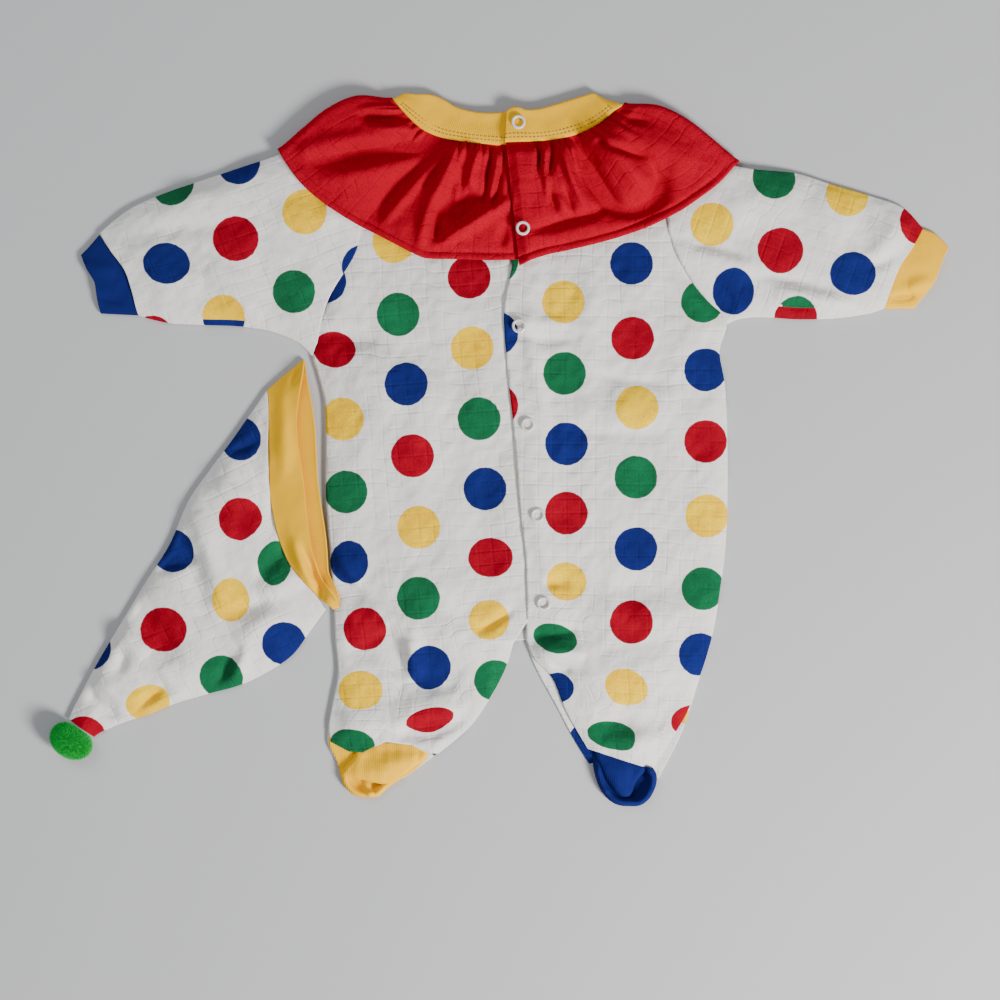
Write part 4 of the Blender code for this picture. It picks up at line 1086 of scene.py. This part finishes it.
def neck_gathers(lines, seed):
    """Small pleats that run down from the neck seam and die out."""
    rng = np.random.default_rng(seed)
    steps = np.hypot(*np.diff(lines[:, 0, :2], axis=0, prepend=lines[:1, 0, :2]).T)
    place = np.cumsum(steps)[:, None]
    down = np.linspace(0, 1, COLLAR_CELLS + 1) * COLLAR_DROP
    height = np.zeros(lines.shape[:2])
    for spot in np.cumsum(rng.uniform(3.4, 6.0, 60)):
        length = rng.choice((10.0, 16.0, 24.0, 38.0), p=(0.35, 0.3, 0.2, 0.15))
        depth = rng.uniform(1.4, 2.9)
        width = 1.25 + down * 0.018
        swerve = rng.uniform(-0.05, 0.05) * down
        fade = ease(1 - down / length)
        height -= depth * np.exp(-((place - spot - swerve) / width) ** 2) * fade
        height += 0.5 * depth * np.exp(-((place - spot - 2.4 - swerve) / width) ** 2) * fade
    return height


def collar_front(table, seed, smooth_from=None):
    """One side of the collar over the front, its pleats pressed flat left of smooth_from."""
    lines = gather_lines(table, COLLAR_ROWS)
    x, y = lines[..., 0], lines[..., 1]
    parts = np.linspace(0, 1, COLLAR_CELLS + 1)
    length = np.hypot(*(lines[:, -1, :2] - lines[:, 0, :2]).T)[:, None]
    down = parts * length
    left_over = (1 - parts) * length
    ends = np.minimum(np.arange(COLLAR_ROWS), np.arange(COLLAR_ROWS)[::-1])[:, None]
    rise = COLLAR_RAISE * ease(ends / 30.0)
    neck_drop = (NECK_DROP + rise) * (1 - ease(down / 11.0))
    height = lines[..., 2] + rise - neck_drop - HEM_DROP * ease(1 - left_over / 30.0)
    pleats = neck_gathers(lines, seed)
    if smooth_from is not None:
        pleats = pleats * ease((x - smooth_from) / 6)
    relief = COLLAR_RELIEF * crease_height(COLLAR_CREASES, x, y) + pleats
    relief += 0.35 * wander(x, y, 26, seed) + 0.15 * wander(x, y, 9, seed + 1)
    relief *= ease(down / 3.0) * (0.45 + 0.55 * ease(left_over / 16.0))
    relief *= ease(ends / 9.0)
    height = height + relief - HEM_GROOVE * np.exp(-((left_over - HEM) / 1.2) ** 2)
    shoulder_lift = SLEEVE_CROWN * ease((abs(x - COLLAR_CENTRE[0]) - ARMHOLE_AWAY) / 24)
    placket_lift = LAP_RISE * ease((26 - abs(x - PLACKET_X)) / 14)
    floor = LEAST_COLLAR_Z + shoulder_lift + placket_lift
    height = floor + np.logaddexp(0, (height - floor) * 1.4) / 1.4
    return np.stack([x, y, height], -1)


def red_colour(place, across, along):
    lines, cross = quilt_lines(place, across, along, 0.45)
    seen = lines.math("MAXIMUM", cross) * place.noise(44.0).smooth(0.36, 0.6)
    fuzz = place.noise(1000.0, 3.0).smooth(0.25, 0.8)
    base = fuzz.mix(shaded(RED, 0.80), RED_BRIGHT)
    cloud = place.noise(16.0, 3.0).smooth(0.3, 0.7)
    base = (cloud * 0.5).mix(base, shaded(RED, 0.86))
    return (seen * 0.55).mix(base, RED_LINE)


red_finish = cloth_finish("red_knit", red_colour, quilt_height, 0.9)
collar_right = collar_front(COLLAR_RIGHT, 41)
collar_left = collar_front(COLLAR_LEFT, 47, LAP_SMOOTH)
collar_back = gather_lines(COLLAR_BACK, 130)
points = np.concatenate([
    collar_right,
    turned(gather_line(COLLAR_FOLD_RIGHT)[:, :2], (-0.55, 0.83),
           collar_right[-1, :, 2], collar_back[0, :, 2], COLLAR_TURN),
    collar_back,
    turned(gather_line(COLLAR_FOLD_LEFT)[:, :2], (0.5, 0.87),
           collar_back[-1, :, 2], collar_left[0, :, 2], COLLAR_TURN),
    collar_left,
])
collar = shell("collar_red", points, long_places(points), red_finish, ["collar"])
red_thread = thread_finish("red_thread", RED_THREAD)
hem_lines = [lines[6:-2, COLLAR_CELLS - 4] + np.array((0, 0, STITCH_LIFT))
             for lines in (collar_right, collar_left)]
hem_stitches = stitches("collar_hem_stitches", hem_lines, red_thread,
                        spacing=3.2, length=1.1, radius=0.2)

# ------------------------------------------------------------------------ feet
# The feet are enclosed, with a jersey sole and a short vamp sewn to the leg end:
# yellow on the right, blue on the left. Laid flat, the toes stand open and curl.
SOLE_RIGHT = (
    Side(-120.2, -198.5, -66, -208), Side(-119.6, -208, -54, -212.5), Side(-115.8, -216, -52.4, -218),
    Side(-112.6, -224.5, -61, -225.5), Side(-110.6, -231, -70, -231), Side(-108.4, -236, -77.5, -236),
    Side(-104, -240.8, -82, -240), Side(-98, -243.6, -86, -243.6),
)
VAMP_RIGHT = (
    Side(-104, -206, -54, -206), Side(-101.5, -212.5, -51.2, -213.2), Side(-103.5, -217, -54, -218.5),
    Side(-107.5, -221.5, -62, -224), Side(-110.8, -226.4, -73, -232.4),
    Side(-110.4, -228.4, -77, -235.6),
)
SOLE_LEFT = (
    Side(64, -213.5, 106, -223.5), Side(65, -220, 108.4, -228), Side(66.4, -228, 108.4, -234),
    Side(69.4, -236.5, 106.6, -239.4), Side(74, -243.6, 103, -245.2), Side(80, -248, 97.8, -249),
    Side(86, -249.6, 92, -249.8),
)
VAMP_LEFT = (
    Side(66.2, -208.5, 103.5, -216.5), Side(66.5, -213.8, 102, -222.5),
    Side(68.8, -220.5, 99.6, -226.6), Side(71.8, -227.5, 96.6, -230), Side(75.4, -234, 93.6, -234.6),
    Side(79.6, -239.6, 92, -239.6), Side(83.6, -243.2, 90, -243.2),
)


VAMP_Z = 3.4
TOE_RIGHT = -222
TOE_LEFT = -214
SOLE_RISE = -228
SOLE_RIGHT_RIM = 5.4
SOLE_LEFT_RIM = 7.2
INNER_FOLD = (Crease(-96, -231, -92, -238, -90, -244, 2.2, 2.6),)
VAMP_RIGHT_CREASES = (
    Crease(-98, -217, -90, -221, -78, -219, 6, -2.0), Crease(-104, -224, -84, -226, -62, -216, 6, 1.2),
    Crease(-58, -214, -56, -220, -62, -226, 2.6, -1.6),
)
SOLE_LEFT_CREASES = (
    Crease(98, -230, 104, -236, 110, -238, 2.2, -1.6), Crease(70, -240, 76, -238, 82, -236, 2.4, 1.2),
)
VAMP_LEFT_CREASES = (
    Crease(72, -220, 80, -232, 88, -240, 4, 1.6), Crease(92, -222, 92, -230, 90, -240, 3.4, -1.4),
)


def foot_grid(table, rows, columns):
    """Plan of a foot piece, each point's distance from its free edge, and its part down."""
    x, y = side_grid(table, rows, columns)
    rim_x = np.concatenate([x[:, 0], x[-1], x[::-1, -1]])
    rim_y = np.concatenate([y[:, 0], y[-1], y[::-1, -1]])
    away = np.hypot(x[..., None] - rim_x, y[..., None] - rim_y).min(-1)
    return x, y, away, np.linspace(0, 1, rows)[:, None]


def vamp_arch(columns):
    """Rise across a vamp from its two sides to the instep."""
    return np.sin(np.pi * np.linspace(0, 1, columns)) ** 0.7


def foot_piece(name, x, y, height, finish, node):
    height = height + 0.3 * wander(x, y, 13, 61)
    points = np.stack([x, y, height], -1)
    return shell(name, points, np.stack([x, y], -1), finish, [node])


x, y, away, down = foot_grid(SOLE_RIGHT, 46, 44)
toe = ease((TOE_RIGHT - y) / 10)
rim = np.exp(-((away - 2.0) / 2.3) ** 2) * toe
height = REST + SOLE_RIGHT_RIM * rim + crease_height(INNER_FOLD, x, y) * toe
height = height + FRONT_GAP * ease((y - SOLE_RISE) / 6)
sole_right = foot_piece("foot_right_sole", x, y, height, yellow_finish, "sole_right")

x, y, away, down = foot_grid(VAMP_RIGHT, 40, 44)
roll = 2.6 * ease((2.0 - away) / 2.0) * ease(down / 0.3)
height = VAMP_Z + 1.8 * ease(down / 0.3) + 3.4 * vamp_arch(44) * ease((down - 0.12) / 0.4)
height = height + crease_height(VAMP_RIGHT_CREASES, x, y) - roll
vamp_right = foot_piece("foot_right_vamp", x, y, height, yellow_finish, "vamp_right")

x, y, away, down = foot_grid(SOLE_LEFT, 56, 48)
rim = np.exp(-((away - 2.4) / 2.6) ** 2) * ease((TOE_LEFT - y) / 12)
height = REST + SOLE_LEFT_RIM * rim + crease_height(SOLE_LEFT_CREASES, x, y) * rim
sole_left = foot_piece("foot_left_sole", x, y, height, blue_finish, "sole_left")

x, y, away, down = foot_grid(VAMP_LEFT, 44, 40)
roll = 1.6 * ease((2.2 - away) / 2.2) * ease(down / 0.2)
height = VAMP_Z + 2.0 * ease(down / 0.25) + 2.2 * vamp_arch(40) * ease((down - 0.1) / 0.3)
height = height - 1.4 * down ** 2 + crease_height(VAMP_LEFT_CREASES, x, y) - roll
vamp_left = foot_piece("foot_left_vamp", x, y, height, blue_finish, "vamp_left")

# ----------------------------------------------------------------------- snaps
# Open-ring press snaps of pearly resin, clinched through the cloth: one on the
# neckband, one on the collar and four down the placket.
Snap = namedtuple("Snap", "node x y under")
SNAPS = (
    Snap("snap_neck", 12.5, 226.5, "neckband_rib"), Snap("snap_collar", 15.5, 152, "collar_red"),
    Snap("snap_front_1", 12.8, 84.5, "romper_front_left"),
    Snap("snap_front_2", 19, 16, "romper_front_left"),
    Snap("snap_front_3", 26, -47, "romper_front_left"),
    Snap("snap_front_4", 30, -108.5, "romper_front_left"),
)
SNAP_PROFILE = (
    (3.0, -0.8), (3.05, 0.5), (3.35, 1.1), (3.95, 1.4), (4.55, 1.15), (4.95, 0.5), (5.0, -0.8),
)
SNAP_SIDES = 40
SNAP_FEELERS = 8
SNAP_REACH = 4
SNAP_LIFT = 0.15
FEELER_START = 60
PEARL_DARK = (0.62, 0.60, 0.56)
PEARL = (0.78, 0.77, 0.74)
snap_finish, shader, place = new_finish("pearly_resin", 0.28)
place.noise(160.0).smooth(0.3, 0.7).mix(PEARL_DARK, PEARL).feed(shader, "Base Color")
shader.inputs["Coat Weight"].default_value = 0.4


def cloth_top(snap):
    """Height of the cloth under a snap's ring, in millimetres."""
    tops = []
    for angle in np.arange(SNAP_FEELERS) * math.tau / SNAP_FEELERS:
        spot = Vector((snap.x + SNAP_REACH * math.cos(angle),
                       snap.y + SNAP_REACH * math.sin(angle), FEELER_START)) * MM
        hit = bpy.data.objects[snap.under].ray_cast(spot, Vector((0, 0, -1)))[1]
        tops.append(hit.z / MM)
    return max(tops)


def solid_piece(name, mesh, finish, node):
    """A closed mesh made an object that rides with the set."""
    bmesh.ops.recalc_face_normals(mesh, faces=mesh.faces)
    made = bpy.data.meshes.new(name)
    mesh.to_mesh(made)
    mesh.free()
    made.materials.append(finish)
    made.polygons.foreach_set("use_smooth", np.ones(len(made.polygons), bool))
    piece = placed(name, made)
    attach(piece, "root")
    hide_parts(node)
    return piece


bpy.context.view_layer.update()
for snap in SNAPS:
    level = cloth_top(snap) + SNAP_LIFT
    mesh = bmesh.new()
    rings = []
    for angle in np.arange(SNAP_SIDES) * math.tau / SNAP_SIDES:
        rings.append([mesh.verts.new(Vector((snap.x + radius * math.cos(angle),
                                             snap.y + radius * math.sin(angle), level + height)) * MM)
                      for radius, height in SNAP_PROFILE])
    for side, ring in enumerate(rings):
        following = rings[(side + 1) % SNAP_SIDES]
        for corner in range(len(SNAP_PROFILE)):
            after = (corner + 1) % len(SNAP_PROFILE)
            mesh.faces.new((ring[corner], following[corner], following[after], ring[after]))
    solid_piece(snap.node + "_ring", mesh, snap_finish, snap.node)

# ------------------------------------------------------------------------- hat
# The hat is a cone of the romper's dotted cloth, folded along its top, with one
# seam. It lies flat and a little crumpled, its opening towards the romper.
HAT = (
    Seam(-122.5, -112.5, -163, 40, 17, 18, 9.5, 2.6), Seam(-133, -127, -174, 24, 10, 10, 6, 4.2),
    Seam(-146, -144.5, -188, 4, 4, 4, 3, 5.5), Seam(-164, -156.5, -203, -16, 0, 0, 0, 6.5),
    Seam(-183, -165.5, -218, -38, 0, 0, 0, 7.0), Seam(-205, -171.5, -231, -68, 0, 0, 0, 7.0),
    Seam(-227, -178, -247.5, -94, 0, 0, 0, 6.5), Seam(-248, -186.5, -265, -123, 0, 0, 0, 6.0),
    Seam(-264, -191.5, -281, -150, 0, 0, 0, 5.0), Seam(-279, -198, -296, -178, 0, 0, 0, 5.0),
    Seam(-284.5, -201.5, -301.5, -189.5, 0, 0, 0, 5.0),
)
HAT_RINGS = 150
HAT_CREASES = (
    Crease(-242, -84, -230, -80, -212, -76, 5, -3.0), Crease(-226, -58, -214, -78, -206, -112, 9, -2.4),
    Crease(-212, -42, -202, -74, -194, -108, 8, 2.0),
    Crease(-272, -128, -258, -132, -246, -146, 9, 2.6),
    Crease(-258, -110, -244, -122, -226, -150, 10, -2.2),
    Crease(-258, -188, -246, -175, -236, -168, 3.6, -2.2),
    Crease(-250, -190, -238, -180, -222, -172, 4.0, 2.2),
    Crease(-202, -172, -194, -160, -190, -150, 3.6, -1.9),
    Crease(-188, -172, -182, -158, -182, -146, 4.6, 1.8),
    Crease(-150, -20, -158, -42, -160, -62, 5, -1.9), Crease(-154, 30, -162, 2, -163, -26, 6, 1.8),
    Crease(-171, 4, -180, -2, -190, -2, 3.6, -1.8),
    Crease(-292, -168, -276, -184, -262, -192, 4.5, -2.2),
    Crease(-284, -160, -268, -172, -250, -180, 6, 2.0),
    Crease(-146, -70, -158, -78, -172, -92, 6, -1.8), Crease(-136, -84, -152, -98, -170, -102, 7, 1.6),
    Crease(-176, -136, -178, -150, -188, -166, 4.4, 1.8),
    Crease(-140, -112, -160, -118, -186, -136, 9, 1.8), Crease(-196, -20, -188, -36, -168, -36, 9, 1.8),
    Crease(-246, -148, -226, -158, -204, -156, 9, 1.6),
    Crease(-160, -104, -176, -116, -196, -116, 6, -1.6),
    Crease(-270, -158, -262, -150, -262, -138, 5, -1.8),
)
PULLS_HAT = (
    Pull(-181, 6, 4.2, 2.6, 0.95), Pull(-181.2, -49.7, 6.3, 1.4), Pull(-228.3, -72.2, 4.4, 0),
    Pull(-187.7, -105.9, 1.9, -0.4, 0.86, 1.02), Pull(-157.9, -80.3, -13.6, 4.1, 0.79, 1.04),
    Pull(-234.9, -126.7, 0, 0, 1.1, 1.04), Pull(-151.3, -136.1, -4.8, 2.8),
    Pull(-194.7, -159.4, -3, 0.6), Pull(-246, -177.3, -9, 3.9, 1.03, 0.8, 20),
    Pull(-286.7, -140.2, -6.5, 7.7), Pull(-291, -202, -8.6, 0.3),
)
points = tube(HAT, -1, HAT_RINGS, HAT_CREASES, 53)
hat = shell("hat_cone", points,
            tube_print(points, (-234.9, -126.7), (0.9, 0.42), (-163, 40), (-300, -188), PULLS_HAT),
            dotted_finish, ["hat_cone"], closed=True)

# -------------------------------------------------------------------- hat band
# A wide band of yellow rib, folded double, edges the hat. Its front half stands
# back from the opening, so the inside of the back half shows beside it.
BAND_TOP = (
    Seam(-122.1, -112.0, -162.6, 40.2, 16.7, 17.7, 9.2, 2.6),
    Seam(-121.2, -111.4, -150, 51, 13, 14, 9.8, 6.5),
    Seam(-119.5, -110.6, -137.2, 61.5, 7.8, 8.4, 9.0, 9.5),
)
BAND_UNDER = ((16.7, 17.7, 9.2), (6, 8, 4), (-2.6, -1.2, -3.0))
HAT_BAND_CREASES = (
    Crease(-138, -70, -128, -92, -122, -106, 3.4, -3.2),
    Crease(-146, -60, -136, -84, -130, -100, 5, 2.2), Crease(-152, 40, -150, 10, -150, -20, 6, 1.4),
    Crease(-146, 44, -142, 52, -138, 58, 3, -1.6), Crease(-126, -86, -121, -98, -118, -108, 2.4, 2.0),
)
BAND_RINGS = 60
BAND_LIFT = 6.5
CORNER_TOP = -84
CORNER_DRAWN = 7.5
CORNER_RAISED = 6.0
points = tube(BAND_TOP, -1, BAND_RINGS, HAT_BAND_CREASES, 59,
              under_bows=through(BAND_UNDER, np.linspace(0, 1, BAND_RINGS)), crumple=0.6)
ring_share = np.linspace(0, 1, BAND_RINGS)[:, None]
across_share = np.linspace(0, 1, TUBE_RUN)
from_folds = 1 - np.exp(-np.minimum(across_share, 1 - across_share) * 14)
points[:, :TUBE_RUN, 2] += BAND_LIFT * ring_share ** 1.5 * from_folds
low_end = ease((CORNER_TOP - points[..., 1]) / 20)
points[..., 0] += CORNER_DRAWN * (ease((points[..., 0] + 128) / 9) * low_end)
points[..., 2] += CORNER_RAISED * ease((points[..., 0] + 126) / 6) * low_end
hat_band = shell("hat_band_rib", points, ring_places(points), yellow_finish, ["hat_band"],
                 closed=True)

# ---------------------------------------------------------------------- pompom
# A small wound pompom of bright green yarn, its pile clipped short, sewn to the
# tip of the hat and dented where the tip lies against it.
POMPOM_GREEN = (0.014, 0.70, 0.095)
POMPOM_PLACE = (-299.0, -204.0, 8.4)
POMPOM_RADII = (14.2, 10.8, 7.6)
POMPOM_SLANT = math.radians(-32)
POMPOM_DENT = 0.26
POMPOM_DENT_DIRECTION = math.radians(56)
POMPOM_DENT_WIDTH = 0.6
POMPOM_BRIGHT = (0.03, 0.80, 0.13)
FIBRES = 1.1e7
FIBRE_LENGTH = 2.4
FIBRE_RADIUS = 0.16
FIBRE_LEAN = 0.7
green_finish, shader, place = new_finish("green_yarn", 0.95)
strand = place.noise(900.0, 3.0).smooth(0.3, 0.75)
strand.mix(shaded(POMPOM_GREEN, 0.62), POMPOM_BRIGHT).feed(shader, "Base Color")
(place.noise(1100.0, 3.0) * 0.0012).bump(shader)
shader.inputs["Specular IOR Level"].default_value = 0.1

mesh = bmesh.new()
bmesh.ops.create_uvsphere(mesh, u_segments=56, v_segments=34, radius=1.0)
for vert in mesh.verts:
    flat_angle = math.atan2(vert.co.y, vert.co.x) + POMPOM_SLANT
    turn = math.remainder(flat_angle - POMPOM_DENT_DIRECTION, math.tau)
    inward = 1 - POMPOM_DENT * math.exp(-(turn / POMPOM_DENT_WIDTH) ** 2)
    long_way, short_way = vert.co.x * POMPOM_RADII[0], vert.co.y * POMPOM_RADII[1]
    x = (long_way * math.cos(POMPOM_SLANT) - short_way * math.sin(POMPOM_SLANT)) * inward
    y = (long_way * math.sin(POMPOM_SLANT) + short_way * math.cos(POMPOM_SLANT)) * inward
    vert.co = (Vector((x, y, vert.co.z * POMPOM_RADII[2])) + Vector(POMPOM_PLACE)) * MM
pompom = solid_piece("pompom_core", mesh, green_finish, "pompom")

# Short tapered fibres standing on the core, a little tousled.
pile_nodes, made = grow_tree(
    "pile", ("Density", "Fibre Length", "Fibre Radius"), "Yarn",
    (("scatter", "GeometryNodeDistributePointsOnFaces"),
     ("cone", "GeometryNodeMeshCone", ("fill_type", "NONE")),
     ("lean", "FunctionNodeRandomValue", ("data_type", "FLOAT_VECTOR")),
     ("long", "FunctionNodeRandomValue"), ("place", "GeometryNodeInstanceOnPoints"),
     ("tip", "GeometryNodeRotateInstances"), ("size", "GeometryNodeScaleInstances")),
    (("enter", "Geometry", "scatter", "Mesh"), ("enter", "Density", "scatter", "Density"),
     ("enter", "Fibre Length", "cone", "Depth"), ("enter", "Fibre Radius", "cone", "Radius Bottom"),
     ("scatter", "Points", "place", "Points"), ("scatter", "Rotation", "place", "Rotation"),
     ("cone", "Mesh", "place", "Instance"), ("place", "Instances", "tip", "Instances"),
     ("lean", "Value", "tip", "Rotation"), ("tip", "Instances", "size", "Instances"),
     ("long", 1, "size", "Scale"), ("size", "Instances", "real", "Geometry"),
     ("real", "Geometry", "paint", "Geometry")))
made["cone"].inputs["Vertices"].default_value = 4
made["scatter"].inputs["Seed"].default_value = 5
made["lean"].inputs["Min"].default_value = (-FIBRE_LEAN,) * 3
made["lean"].inputs["Max"].default_value = (FIBRE_LEAN,) * 3
made["lean"].inputs["Seed"].default_value = 3
made["long"].inputs[2].default_value = 0.6
made["long"].inputs[3].default_value = 1.15
made["long"].inputs["Seed"].default_value = 9
grown("pompom_pile", pompom.data, pile_nodes,
             {"Density": FIBRES, "Fibre Length": FIBRE_LENGTH * MM, "Fibre Radius": FIBRE_RADIUS * MM,
              "Yarn": green_finish})

# ------------------------------------------------------------ floor and lights
# A pale plain floor, one large soft lamp low at the right front with a weaker
# one behind it, and a camera straight above the middle of the set.
FLOOR_HALF = 3.0
FLOOR_GREY = (0.47, 0.475, 0.485, 1.0)
LAMP_AIM = (0, 0, 0)
CAMERA_MIDDLE = (-0.00035, -0.0364)
FRAME_WIDTH = 0.700
stage_finish, shader, place = new_finish("stage", 0.9)
shader.inputs["Base Color"].default_value = FLOOR_GREY
floor_mesh = bpy.data.meshes.new("floor")
floor_mesh.from_pydata([(-FLOOR_HALF, -FLOOR_HALF, 0), (FLOOR_HALF, -FLOOR_HALF, 0),
                        (FLOOR_HALF, FLOOR_HALF, 0), (-FLOOR_HALF, FLOOR_HALF, 0)], [], [(0, 1, 2, 3)])
floor_mesh.materials.append(stage_finish)
floor = placed("floor", floor_mesh)


def area_lamp(name, spot, size, power, colour):
    """A soft round lamp turned to the middle of the set."""
    lamp = bpy.data.lights.new(name, "AREA")
    lamp.shape = "DISK"
    lamp.size = size
    lamp.energy = power
    lamp.color = colour
    made = placed(name, lamp)
    made.location = spot
    made.rotation_euler = (Vector(LAMP_AIM) - Vector(spot)).to_track_quat("-Z", "Y").to_euler()


area_lamp("key_lamp", (1.3, -1.2, 1.15), 0.6, 88.0, (1.0, 0.985, 0.96))
area_lamp("fill_lamp", (-1.1, 1.0, 1.8), 1.6, 17.0, (0.94, 0.97, 1.0))
world = bpy.data.worlds.new("studio")
world.use_nodes = True
background = world.node_tree.nodes["Background"]
background.inputs["Color"].default_value = (0.95, 0.97, 1.0, 1.0)
background.inputs["Strength"].default_value = 0.36
bpy.context.scene.world = world

camera_data = bpy.data.cameras.new("camera")
camera_data.lens = 85.0
camera_data.sensor_width = 36.0
camera = placed("camera", camera_data)
camera.location = (*CAMERA_MIDDLE, FRAME_WIDTH * camera_data.lens / camera_data.sensor_width)
bpy.context.scene.camera = camera
